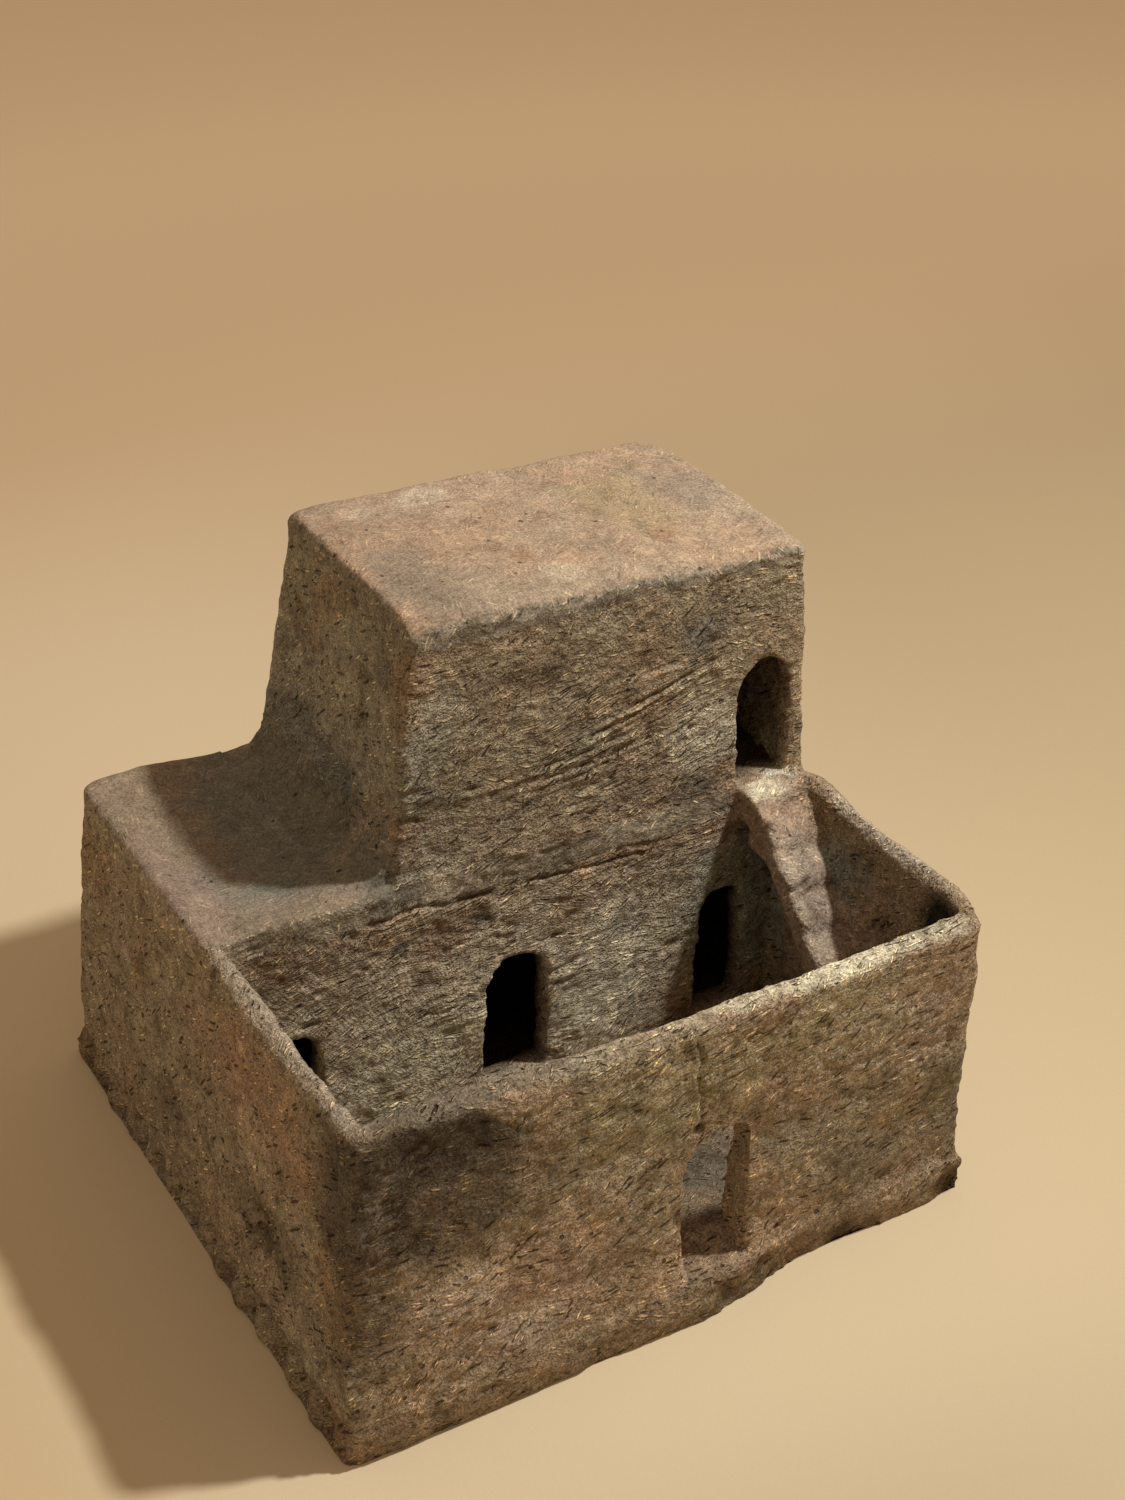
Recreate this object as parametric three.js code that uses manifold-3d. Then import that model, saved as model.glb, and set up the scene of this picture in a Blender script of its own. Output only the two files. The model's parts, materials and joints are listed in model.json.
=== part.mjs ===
import * as THREE from 'three';
import { mergeVertices } from 'three/addons/utils/BufferGeometryUtils.js';
import Module from 'manifold-3d';

const wasm = await Module();
wasm.setup();

// Model house of hand-built clay, in millimetres, +Z up. The courtyard front is at -Y,
// the origin is under the middle of the base.

// Overall sizes
const width = 350;
const depth = 330;
const roofHeight = 296;
const terraceHeight = 163;

// Base: a pad that spreads outwards. Its front edge has broken off on the right: the break runs through
// points given by x and by how far they lie behind the front edge.
const baseThickness = 21;
const brokenEdge = [
  { x: 13, behind: 0 },
  { x: 45, behind: 6 },
  { x: 72, behind: 11.5 },
  { x: width / 2, behind: 13 },
];
const baseCornerRadius = 8;
const baseProfile = [
  { height: 0, inset: 0.4 },
  { height: 6, inset: 0 },
  { height: 14, inset: 0.35 },
  { height: baseThickness, inset: 1 },
];
const joint = 0.3;

// Outer walls: how far they stand inside the base at their foot and at terrace height
const footInset = { left: 5, right: 1.5, front: 4, back: 2.5 };
const topInset = { left: 16, front: 19, back: 6 };
const frontFootSkew = 13;
const wallTopThickness = 10;
const wallThickness = 13.5;
const rightFrontLean = 5.5;
const rightInnerLean = 2;
const cornerRadius = 9;
const rimRadius = 5;
const rimTurn = 0.85;
const rimDip = 4;

// House block: the front of the house runs straight up through both storeys
const courtyardDepth = 137;
const houseFrontThickness = 14;
const houseFrontLean = 4.5;
const lowerRoofThickness = 14;
const terraceDish = 4.5;
const terraceRim = 7.5;
const innerWallThickness = 12;

// Upper storey
const terraceWidth = 96;
const upperWallThickness = 8.5;
const upperFrontLean = 6.5;
const upperLeftLeanFront = 12;
const upperLeftLeanBack = 16.5;
const upperRightInset = 0.5;
const upperRightLean = 5;
const upperBackInset = 2.5;
const upperBackLean = 5;
const upperCornerRadius = 5;
const roofThickness = 15;
const roofEdge = { left: 4, right: 6, front: 9, back: 5, down: 8 };
const roofDrop = { frontRight: 5, backLeft: 2, backRight: 4 };
const filletRadius = 20;

// Doorways: middle, width, sill above the ground, height of the opening, and the share of that height
// at which the left and the right side begin to curve
const frontDoor = { middle: 21, width: 36, sill: baseThickness, height: 78, curve: [0.64, 0.87] };
const middleDoor = { middle: 4, width: 37, sill: 30, height: 73, curve: [0.72, 0.76] };
const rightDoor = { middle: 127, width: 29, sill: 30, height: 74, curve: [0.8, 0.8] };
const leftDoor = { middle: -117, width: 29, sill: 30, height: 67, curve: [0.7, 0.7] };
const upperDoor = { middle: 146, width: 31, sill: terraceHeight, height: 69, curve: [0.6, 0.68] };

// Stair along the right wall, its steps worn to soft lumps
const stairWidth = 26;
const stairClearance = 0.9;
const landingDepth = 15;
const landingThickness = 18;
const landingWear = 1;
const landingNose = 4;
const stepCount = 8;
const stairSlabThickness = 7;
const stepNoseHeight = 5;
const stepBackHeight = 1.5;
const stepNose = [
  { along: 0.93, up: 0.7 },
  { along: 0.8, up: 1 },
  { along: 0.55, up: 0.85 },
];

// Heights and faces worked out from the sizes above
const { lerp, clamp } = THREE.MathUtils;
const lowerStoreyHeight = terraceHeight - baseThickness;
const lowerRoofUnderside = terraceHeight - lowerRoofThickness;
const roofUnderside = roofHeight - roofThickness;
const upperStoreyHeight = roofUnderside - terraceHeight;

const lowerShare = (z) => (z - baseThickness) / lowerStoreyHeight;
const upperShare = (z) => (z - terraceHeight) / upperStoreyHeight;
const leftFace = (z) => -width / 2 + lerp(footInset.left, topInset.left, lowerShare(z));
const backFace = (z) => depth / 2 - lerp(footInset.back, topInset.back, lowerShare(z));
const rightFace = width / 2 - footInset.right;
const frontFootLeft = -depth / 2 + footInset.front;
const frontFootRight = frontFootLeft + frontFootSkew;
const frontTop = -depth / 2 + topInset.front;
const frontInner = frontTop + wallTopThickness;
const leftInner = leftFace(terraceHeight) + wallTopThickness;
const backInner = backFace(baseThickness) - wallThickness;
const rightInner = rightFace - wallThickness;

const houseFrontFoot = frontInner + courtyardDepth - joint;
const houseFrontFace = (z) => houseFrontFoot + houseFrontLean * lowerShare(z);
const houseFrontInner = houseFrontFoot + houseFrontThickness;
const slabFront = houseFrontFace(lowerRoofUnderside);
const towardsHouse = (y) => clamp((y - frontTop) / (slabFront - frontTop), 0, 1);
const rightTop = (y) => rightFace - rightFrontLean * (1 - towardsHouse(y));

const upperFrontFace = (z) => slabFront + upperFrontLean * upperShare(z);
const upperBackFace = (z) => backFace(terraceHeight) - upperBackInset - upperBackLean * upperShare(z);
const upperRightFace = (z) => rightFace - upperRightInset - upperRightLean * upperShare(z);
const upperLeftFoot = leftFace(terraceHeight) + terraceWidth;
const upperLeftFrontFace = (z) => upperLeftFoot + upperLeftLeanFront * upperShare(z);
const upperLeftBackFace = (z) => upperLeftFoot + upperLeftLeanBack * upperShare(z);

// Clay colours
const clay = (color, roughness = 0.95) => new THREE.MeshStandardMaterial({ color, roughness, metalness: 0 });
const wallClay = clay(0x7d6a52);
const roofClay = clay(0x8a7460);
const stairClay = clay(0xa0917b);
const baseClay = clay(0x6e6250);

const house = new THREE.Group();

function addPiece(name, geometry, material) {
  const flat = geometry.index ? geometry.toNonIndexed() : geometry;
  flat.computeVertexNormals();
  const mesh = new THREE.Mesh(flat, material.clone());
  mesh.name = name;
  house.add(mesh);
}

// A four-sided plan outline at a height, its corners rounded and its sides split into steps.
// Corners run front left, front right, back right, back left, and steps give the sides after each corner.
const cornerSteps = 5;
function planRing(corners, radii, height, steps = [1, 1, 1, 1]) {
  const plan = corners.map(([x, y]) => new THREE.Vector2(x, y));
  const alongEdge = (from, to, distance) =>
    plan[to].clone().sub(plan[from]).setLength(distance).add(plan[from]);
  const ring = [];
  for (let i = 0; i < 4; i += 1) {
    const before = (i + 3) % 4;
    const after = (i + 1) % 4;
    const start = radii[i] > 0 ? alongEdge(i, before, radii[i]) : plan[i];
    const end = radii[i] > 0 ? alongEdge(i, after, radii[i]) : plan[i];
    if (radii[i] > 0) {
      const curve = new THREE.QuadraticBezierCurve(start, plan[i], end);
      ring.push(...curve.getPoints(cornerSteps));
    } else {
      ring.push(plan[i].clone());
    }
    const next = radii[after] > 0 ? alongEdge(after, i, radii[after]) : plan[after];
    for (let k = 1; k < steps[i]; k += 1) {
      ring.push(end.clone().lerp(next, k / steps[i]));
    }
  }
  return ring.map((p) => new THREE.Vector3(p.x, p.y, height(p.x, p.y)));
}

// A closed skin through rings stacked upwards, closed by a fan at each end
function loft(rings) {
  const count = rings[0].length;
  const positions = rings.flat().flatMap((p) => [p.x, p.y, p.z]);
  const index = [];
  for (let row = 0; row + 1 < rings.length; row += 1) {
    for (let j = 0; j < count; j += 1) {
      const a = row * count + j;
      const b = row * count + ((j + 1) % count);
      index.push(a, b, b + count, a, b + count, a + count);
    }
  }
  const capped = [[0, false], [rings.length - 1, true]];
  for (const [row, up] of capped) {
    const middle = rings[row].reduce((sum, p) => sum.add(p), new THREE.Vector3()).divideScalar(count);
    const centre = positions.length / 3;
    positions.push(middle.x, middle.y, middle.z);
    for (let j = 0; j < count; j += 1) {
      const a = row * count + j;
      const b = row * count + ((j + 1) % count);
      index.push(...(up ? [a, b, centre] : [b, a, centre]));
    }
  }
  const geometry = new THREE.BufferGeometry();
  geometry.setAttribute('position', new THREE.Float32BufferAttribute(positions, 3));
  geometry.setIndex(index);
  return geometry;
}

const corners = (left, right, front, back) => [[left, front], [right, front], [right, back], [left, back]];
const level = (z) => () => z;
const square = [0, 0, 0, 0];

// A plan outline with each of its sides drawn in
function drawCorners([frontLeft, frontRight, backRight, backLeft], side) {
  return [
    [frontLeft[0] + side.left, frontLeft[1] + side.front],
    [frontRight[0] - side.right, frontRight[1] + side.front],
    [backRight[0] - side.right, backRight[1] - side.back],
    [backLeft[0] + side.left, backLeft[1] - side.back],
  ];
}

const scaleSides = ({ left, right, front, back }, by) => ({
  left: left * by,
  right: right * by,
  front: front * by,
  back: back * by,
});

// Rings that round a free top edge: each side is drawn in by its share of the radius
function roundedRim(outline, radii, topHeight, drawIn, steps) {
  const bends = 4;
  return Array.from({ length: bends + 1 }, (_, k) => {
    const angle = (k / bends) * (Math.PI / 2) * rimTurn;
    const inwards = rimRadius * (1 - Math.cos(angle));
    const down = rimRadius * (1 - Math.sin(angle));
    const drawn = drawCorners(outline, scaleSides(drawIn, inwards));
    return planRing(drawn, radii, (x, y) => topHeight(x, y) - down, steps);
  });
}

function toSolid(geometry) {
  const bare = geometry.clone();
  bare.deleteAttribute('normal');
  bare.deleteAttribute('uv');
  const merged = mergeVertices(bare);
  return new wasm.Manifold(new wasm.Mesh({
    numProp: 3,
    vertProperties: new Float32Array(merged.attributes.position.array),
    triVerts: new Uint32Array(merged.index.array),
  }));
}

function toGeometry(solid) {
  const { vertProperties, triVerts } = solid.getMesh();
  const geometry = new THREE.BufferGeometry();
  geometry.setAttribute('position', new THREE.BufferAttribute(new Float32Array(vertProperties), 3));
  geometry.setIndex(new THREE.BufferAttribute(new Uint32Array(triVerts), 1));
  return geometry;
}

const cut = (geometry, ...tools) =>
  toGeometry(tools.reduce((solid, tool) => solid.subtract(toSolid(tool)), toSolid(geometry)));

// An arched doorway as a prism that runs through a wall from front to back, and below the sill by openDown
function doorway(door, front, back, openDown = 0) {
  const left = door.middle - door.width / 2;
  const right = door.middle + door.width / 2;
  const crown = door.sill + door.height;
  const [leftSpring, rightSpring] = door.curve.map((share) => door.sill + door.height * share);
  const shape = new THREE.Shape();
  shape.moveTo(left, door.sill - openDown);
  shape.lineTo(right, door.sill - openDown);
  shape.lineTo(right, rightSpring);
  shape.quadraticCurveTo(right, crown, door.middle, crown);
  shape.quadraticCurveTo(left, crown, left, leftSpring);
  const prism = new THREE.ExtrudeGeometry(shape, {
    depth: back - front,
    bevelEnabled: false,
    curveSegments: 6,
  });
  prism.rotateX(Math.PI / 2);
  prism.translate(0, back, 0);
  return prism;
}

// A prism across X from an outline of [y, z] points
function sidePrism(outline, left, right) {
  const shape = new THREE.Shape(outline.map(([y, z]) => new THREE.Vector2(y, z)));
  const prism = new THREE.ExtrudeGeometry(shape, { depth: right - left, bevelEnabled: false });
  prism.applyMatrix4(new THREE.Matrix4().set(0, 0, 1, left, 1, 0, 0, 0, 0, 1, 0, 0, 0, 0, 0, 1));
  return prism;
}

// Base: a thick pad of clay with a bulging edge and a flat underside
function makeBase() {
  const outline = corners(-width / 2, width / 2, -depth / 2, depth / 2);
  const radii = Array(4).fill(baseCornerRadius);
  const pad = loft(baseProfile.map(({ height, inset }) =>
    planRing(drawCorners(outline, scaleSides(footInset, inset)), radii, level(height))));
  const lost = new THREE.Shape(brokenEdge.map(({ x, behind }) => new THREE.Vector2(x, behind - depth / 2)));
  lost.lineTo(width, brokenEdge.at(-1).behind - depth / 2);
  lost.lineTo(width, -depth);
  lost.lineTo(brokenEdge[0].x, -depth);
  const wedge = new THREE.ExtrudeGeometry(lost, { depth: 3 * baseThickness, bevelEnabled: false });
  wedge.translate(0, 0, -baseThickness);
  return cut(pad, wedge);
}

addPiece('base_slab', makeBase(), baseClay);

// Courtyard walls: rounded rims that dip a little between the corners
const dipAlong = (from, to) => (t) =>
  terraceHeight - rimDip * Math.sin(Math.PI * clamp((t - from) / (to - from), 0, 1));

function makeFrontWall() {
  const steps = [10, 1, 10, 1];
  const radii = [cornerRadius, cornerRadius, 0, 0];
  const [leftFoot, leftTop] = [leftFace(baseThickness), leftFace(terraceHeight)];
  const dip = dipAlong(leftTop, rightFace);
  const foot = [
    [leftFoot, frontFootLeft],
    [rightFace, frontFootRight],
    [rightFace, frontInner],
    [leftFoot, frontInner],
  ];
  const top = [
    [leftTop, frontTop],
    [rightTop(frontTop), frontTop],
    [rightTop(frontInner), frontInner],
    [leftTop, frontInner],
  ];
  const drawIn = { left: 1, right: 1, front: 1, back: 0.4 };
  const wall = loft([
    planRing(foot, radii, level(baseThickness), steps),
    ...roundedRim(top, radii, (x) => dip(x), drawIn, steps),
  ]);
  const opening = doorway(frontDoor, -depth, frontInner + wallThickness, rimRadius);
  return cut(wall, opening);
}

addPiece('front_wall', makeFrontWall(), wallClay);

const courtFront = frontInner + joint;
const courtBack = slabFront - joint;
function makeCourtWall(foot, top, drawIn) {
  const steps = [1, 6, 1, 6];
  const dip = dipAlong(courtFront, courtBack);
  return loft([
    planRing(foot, square, level(baseThickness), steps),
    ...roundedRim(top, square, (x, y) => dip(y), drawIn, steps),
  ]);
}

addPiece(
  'left_court_wall',
  makeCourtWall(
    corners(leftFace(baseThickness), leftInner, courtFront, courtBack),
    corners(leftFace(terraceHeight), leftInner, courtFront, courtBack),
    { left: 1, right: 0.8, front: 0, back: 0 },
  ),
  wallClay,
);

// The right wall leans in towards its front end
const rightCourtTop = [
  [rightInner - rightInnerLean, courtFront],
  [rightTop(courtFront), courtFront],
  [rightFace, courtBack],
  [rightInner, courtBack],
];
addPiece(
  'right_court_wall',
  makeCourtWall(
    corners(rightInner, rightFace, courtFront, courtBack),
    rightCourtTop,
    { left: 0.8, right: 1, front: 0, back: 0 },
  ),
  wallClay,
);

// House walls of the lower storey: they stop under the lower roof slab
function straightWall(footOutline, topOutline, radii = square) {
  return loft([
    planRing(corners(...footOutline), radii, level(baseThickness)),
    planRing(corners(...topOutline), radii, level(lowerRoofUnderside)),
  ]);
}

const sideWallFront = slabFront;
const sideWallBack = backInner - joint;
addPiece(
  'left_house_wall',
  straightWall(
    [leftFace(baseThickness), leftInner, sideWallFront, sideWallBack],
    [leftFace(lowerRoofUnderside), leftInner, sideWallFront, sideWallBack],
  ),
  wallClay,
);
const rightOutline = [rightInner, rightFace, sideWallFront, sideWallBack];
addPiece('right_house_wall', straightWall(rightOutline, rightOutline), wallClay);
addPiece(
  'back_wall',
  straightWall(
    [leftFace(baseThickness), rightFace, backInner, backFace(baseThickness)],
    [leftFace(lowerRoofUnderside), rightFace, backInner, backFace(lowerRoofUnderside)],
    [0, 0, cornerRadius, cornerRadius],
  ),
  wallClay,
);

function makeHouseFront() {
  const left = leftInner + joint;
  const right = rightInner - joint;
  const wall = straightWall(
    [left, right, houseFrontFace(baseThickness), houseFrontInner],
    [left, right, houseFrontFace(lowerRoofUnderside), houseFrontInner],
  );
  const doors = [leftDoor, middleDoor, rightDoor]
    .map((door) => doorway(door, frontInner, houseFrontInner + wallThickness));
  return cut(wall, ...doors);
}

addPiece('house_front_wall', makeHouseFront(), wallClay);

// Two walls inside part the three rooms and carry the lower roof slab
const leftInnerWall = upperLeftFoot;
const middleDoorRight = middleDoor.middle + middleDoor.width / 2;
const rightDoorLeft = rightDoor.middle - rightDoor.width / 2;
const rightInnerWall = (middleDoorRight + rightDoorLeft) / 2;
function makeInnerWall(left) {
  const outline = [left, left + innerWallThickness, houseFrontInner + joint, backInner - joint];
  return straightWall(outline, outline);
}

addPiece('inner_wall_left', makeInnerWall(leftInnerWall), wallClay);
addPiece('inner_wall_right', makeInnerWall(rightInnerWall - innerWallThickness / 2), wallClay);

// Lower roof slab: the floor of the upper storey, and the dished terrace beside it
function makeLowerRoof() {
  const radii = [0, 0, cornerRadius, cornerRadius];
  const ring = (z, inset) => planRing(
    corners(leftFace(z) + inset, rightFace - inset, slabFront, backFace(z) - inset),
    radii,
    level(z),
  );
  const edgeRadius = rimRadius / 2;
  const quarter = edgeRadius * (1 - Math.SQRT1_2);
  const slab = loft([
    ring(lowerRoofUnderside, 0),
    ring(terraceHeight - edgeRadius, 0),
    ring(terraceHeight - quarter, quarter),
    ring(terraceHeight, edgeRadius),
  ]);
  const dishHalfWidth = (terraceWidth - filletRadius) / 2 - rimRadius;
  const dishHalfDepth = (backFace(terraceHeight) - slabFront) / 2 - terraceRim;
  const dish = new THREE.SphereGeometry(1, 24, 12);
  dish.rotateX(Math.PI / 2);
  dish.scale(dishHalfWidth, dishHalfDepth, terraceDish);
  const middleX = leftFace(terraceHeight) + terraceRim + dishHalfWidth;
  const middleY = (backFace(terraceHeight) + slabFront) / 2;
  dish.translate(middleX, middleY, terraceHeight);
  return cut(slab, dish);
}

addPiece('lower_roof_slab', makeLowerRoof(), roofClay);

// Upper storey walls, each leaning inwards
const upperLeftX = (y, z) => {
  const share = (y - upperFrontFace(z)) / (upperBackFace(z) - upperFrontFace(z));
  return lerp(upperLeftFrontFace(z), upperLeftBackFace(z), share);
};

// The left side twists as it rises, so the walls go up in several lifts with their long sides split too
const upperLifts = 5;
function upperWall(outlineAt, radii = square, steps = [1, 1, 1, 1]) {
  const rings = Array.from({ length: upperLifts + 1 }, (_, k) => {
    const z = lerp(terraceHeight, roofUnderside, k / upperLifts);
    return planRing(outlineAt(z), radii, level(z), steps);
  });
  return loft(rings);
}

function upperFrontOutline(z) {
  const front = upperFrontFace(z);
  const back = front + upperWallThickness;
  return [
    [upperLeftX(front, z), front],
    [upperRightFace(z), front],
    [upperRightFace(z), back],
    [upperLeftX(back, z), back],
  ];
}

function upperBackOutline(z) {
  const back = upperBackFace(z);
  const front = back - upperWallThickness;
  return [
    [upperLeftX(front, z), front],
    [upperRightFace(z), front],
    [upperRightFace(z), back],
    [upperLeftX(back, z), back],
  ];
}

function upperSideOutline(z, side) {
  const front = upperFrontFace(z) + upperWallThickness + joint;
  const back = upperBackFace(z) - upperWallThickness - joint;
  if (side === 'right') {
    const right = upperRightFace(z);
    return corners(right - upperWallThickness, right, front, back);
  }
  return [
    [upperLeftX(front, z), front],
    [upperLeftX(front, z) + upperWallThickness, front],
    [upperLeftX(back, z) + upperWallThickness, back],
    [upperLeftX(back, z), back],
  ];
}

const upperOpening = doorway(upperDoor, frontInner, houseFrontInner + wallThickness, rimRadius);
const upperFrontRadii = [upperCornerRadius, upperCornerRadius, 0, 0];
const upperBackRadii = [0, 0, upperCornerRadius, upperCornerRadius];
addPiece('upper_front_wall', cut(upperWall(upperFrontOutline, upperFrontRadii), upperOpening), wallClay);
const sideSteps = [1, upperLifts, 1, upperLifts];
addPiece('upper_left_wall', upperWall((z) => upperSideOutline(z, 'left'), square, sideSteps), wallClay);
addPiece('upper_right_wall', upperWall((z) => upperSideOutline(z, 'right')), wallClay);
addPiece('upper_back_wall', upperWall(upperBackOutline, upperBackRadii), wallClay);

// Upper roof slab: soft edges, and a top that falls away from the front left corner
function makeUpperRoof() {
  const z = roofUnderside;
  const [left, right] = [upperLeftFrontFace(z), upperRightFace(z)];
  const [front, back] = [upperFrontFace(z), upperBackFace(z)];
  const outline = [[left, front], [right, front], [right, back], [upperLeftBackFace(z), back]];
  const roofTop = (x, y) => {
    const u = (x - left) / (right - left);
    const v = (y - front) / (back - front);
    const frontDrop = roofDrop.frontRight * u;
    const backDrop = lerp(roofDrop.backLeft, roofDrop.backRight, u);
    return roofHeight - lerp(frontDrop, backDrop, v);
  };
  const bends = 5;
  const steps = [6, 4, 6, 4];
  const rings = [planRing(outline, Array(4).fill(upperCornerRadius), level(z), steps)];
  for (let k = 0; k <= bends; k += 1) {
    const angle = (k / bends) * (Math.PI / 2);
    const inwards = 1 - Math.cos(angle);
    const down = roofEdge.down * (1 - Math.sin(angle));
    const drawn = drawCorners(outline, scaleSides(roofEdge, inwards));
    const radii = Array(4).fill(upperCornerRadius * (1 + inwards));
    rings.push(planRing(drawn, radii, (x, y) => roofTop(x, y) - down, steps));
  }
  return loft(rings);
}

addPiece('upper_roof_slab', makeUpperRoof(), roofClay);

// A coil of clay pressed hollow into the angle between the terrace and the upper left wall
function makeFillet() {
  const foot = terraceHeight;
  const slices = [upperFrontFace(foot) + rimRadius, upperBackFace(foot) - rimRadius];
  const hollowSteps = 6;
  const rings = slices.map((y) => {
    const wallX = (z) => upperLeftX(y, z) - 2 * joint;
    const top = foot + filletRadius;
    const points = [new THREE.Vector3(wallX(foot), y, foot), new THREE.Vector3(wallX(top), y, top)];
    for (let k = 1; k < hollowSteps; k += 1) {
      const angle = (k / hollowSteps) * (Math.PI / 2);
      const outwards = filletRadius * (1 - Math.cos(angle));
      const up = filletRadius * (1 - Math.sin(angle));
      points.push(new THREE.Vector3(wallX(foot + up) - outwards, y, foot + up));
    }
    points.push(new THREE.Vector3(wallX(foot) - filletRadius, y, foot));
    return points;
  });
  return filletSkin(rings);
}

// The hollow section isn't convex, so its ends are closed by a fan from the corner in the angle
function filletSkin([front, back]) {
  const count = front.length;
  const positions = [...front, ...back].flatMap((p) => [p.x, p.y, p.z]);
  const index = [];
  for (let j = 0; j < count; j += 1) {
    const next = (j + 1) % count;
    index.push(j, j + count, next + count, j, next + count, next);
  }
  for (let j = 1; j + 1 < count; j += 1) {
    index.push(0, j, j + 1);
    index.push(count, count + j + 1, count + j);
  }
  const geometry = new THREE.BufferGeometry();
  geometry.setAttribute('position', new THREE.Float32BufferAttribute(positions, 3));
  geometry.setIndex(index);
  return geometry;
}

addPiece('terrace_fillet', makeFillet(), roofClay);

// Stair: a landing under the upper doorway, a sloping slab open underneath, and strips of clay as steps
const stairRight = rightInner - stairClearance;
const stairLeft = stairRight - stairWidth;
const landingBack = houseFrontFace(terraceHeight - landingThickness) - joint;
const landingFront = landingBack - landingDepth;
addPiece(
  'stair_landing',
  sidePrism([
    [landingFront, terraceHeight - landingThickness],
    [landingBack, terraceHeight - landingThickness],
    [landingBack, terraceHeight - landingWear],
    [landingFront + landingNose, terraceHeight - landingWear],
    [landingFront, terraceHeight - landingNose],
  ], stairLeft, stairRight),
  stairClay,
);

const flightTop = new THREE.Vector2(landingFront - joint, terraceHeight - landingThickness / 2);
const flightFoot = new THREE.Vector2(frontInner + joint, baseThickness + stairSlabThickness);
const flightLength = flightTop.distanceTo(flightFoot);
const downhill = flightFoot.clone().sub(flightTop).normalize();
const upwards = new THREE.Vector2(downhill.y, -downhill.x);
const slabDrop = stairSlabThickness / Math.abs(downhill.x);

function makeStairSlab() {
  const slope = downhill.y / downhill.x;
  const underTop = new THREE.Vector2(flightTop.x, flightTop.y - slabDrop);
  const footBack = new THREE.Vector2(underTop.x + (baseThickness - underTop.y) / slope, baseThickness);
  return sidePrism([
    [flightFoot.x, flightFoot.y],
    [flightFoot.x, baseThickness],
    [footBack.x, footBack.y],
    [underTop.x, underTop.y],
    [flightTop.x, flightTop.y],
  ], stairLeft, stairRight);
}

addPiece('stair_slab', makeStairSlab(), stairClay);

// Each step is a worn strip: low at its back, highest at its nose
const stepPitch = (flightLength - stepNoseHeight) / stepCount;
function makeStep(number) {
  const profile = [
    [joint, joint],
    [stepPitch - joint, joint],
    [stepPitch - joint, stepBackHeight],
    ...stepNose.map(({ along, up }) => [stepPitch * along, stepNoseHeight * up]),
    [joint, stepBackHeight],
  ];
  const outline = profile.map(([along, up]) => {
    const point = flightTop.clone()
      .addScaledVector(downhill, number * stepPitch + along)
      .addScaledVector(upwards, up);
    return [point.x, point.y];
  });
  return sidePrism(outline, stairLeft, stairRight);
}

for (let number = 0; number < stepCount; number += 1) {
  addPiece(`stair_step_${number + 1}`, makeStep(number), stairClay);
}

export default house;
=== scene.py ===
import json
import math

import bpy
import numpy as np
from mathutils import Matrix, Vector


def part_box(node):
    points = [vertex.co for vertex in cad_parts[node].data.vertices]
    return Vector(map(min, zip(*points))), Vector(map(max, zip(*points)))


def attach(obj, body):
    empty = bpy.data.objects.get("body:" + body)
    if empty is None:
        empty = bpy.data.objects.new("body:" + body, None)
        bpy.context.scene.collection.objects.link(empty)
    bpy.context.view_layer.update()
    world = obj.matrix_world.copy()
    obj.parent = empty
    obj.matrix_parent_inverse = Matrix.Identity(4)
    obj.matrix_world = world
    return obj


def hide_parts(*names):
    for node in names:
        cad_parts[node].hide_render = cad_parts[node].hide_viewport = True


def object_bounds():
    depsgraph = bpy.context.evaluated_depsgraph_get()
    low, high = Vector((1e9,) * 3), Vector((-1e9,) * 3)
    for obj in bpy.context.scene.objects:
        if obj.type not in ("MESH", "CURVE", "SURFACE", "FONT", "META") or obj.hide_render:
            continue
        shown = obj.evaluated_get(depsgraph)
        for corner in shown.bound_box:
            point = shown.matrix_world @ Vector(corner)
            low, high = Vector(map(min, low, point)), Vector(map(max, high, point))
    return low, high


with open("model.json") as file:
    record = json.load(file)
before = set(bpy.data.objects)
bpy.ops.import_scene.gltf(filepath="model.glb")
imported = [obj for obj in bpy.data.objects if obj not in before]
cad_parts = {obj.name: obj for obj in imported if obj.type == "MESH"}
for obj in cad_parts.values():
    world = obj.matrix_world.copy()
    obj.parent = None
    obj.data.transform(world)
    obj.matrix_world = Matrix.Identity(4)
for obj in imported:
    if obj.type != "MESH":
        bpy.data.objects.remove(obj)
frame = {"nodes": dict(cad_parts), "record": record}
cadLow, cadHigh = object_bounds()
mm = 0.001
print("frame loaded:", len(frame["nodes"]), "pieces")


# Small helpers for working as by hand

def selectOnly(piece):
    if bpy.context.object and bpy.context.object.mode != "OBJECT":
        bpy.ops.object.mode_set(mode="OBJECT")
    bpy.ops.object.select_all(action="DESELECT")
    piece.select_set(True)
    bpy.context.view_layer.objects.active = piece


def editAll(piece):
    selectOnly(piece)
    bpy.ops.object.mode_set(mode="EDIT")
    bpy.ops.mesh.select_all(action="SELECT")


def leaveEdit():
    bpy.ops.object.mode_set(mode="OBJECT")


def applyModifier(piece, kind, **values):
    selectOnly(piece)
    modifier = piece.modifiers.new(kind.title(), kind)
    for name, value in values.items():
        setattr(modifier, name, value)
    bpy.ops.object.modifier_apply(modifier=modifier.name)


def vertexPlaces(piece):
    places = np.empty(len(piece.data.vertices) * 3, np.float32)
    piece.data.vertices.foreach_get("co", places)
    return places.reshape(-1, 3).astype(np.float64)


def setPlaces(piece, places):
    piece.data.vertices.foreach_set("co", places.astype(np.float32).ravel())
    piece.data.update()


def vertexNormals(piece):
    normals = np.empty(len(piece.data.vertices) * 3, np.float32)
    piece.data.vertex_normals.foreach_get("vector", normals)
    return normals.reshape(-1, 3).astype(np.float64)


def deleteObject(piece):
    bpy.data.objects.remove(piece, do_unlink=True)


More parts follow.
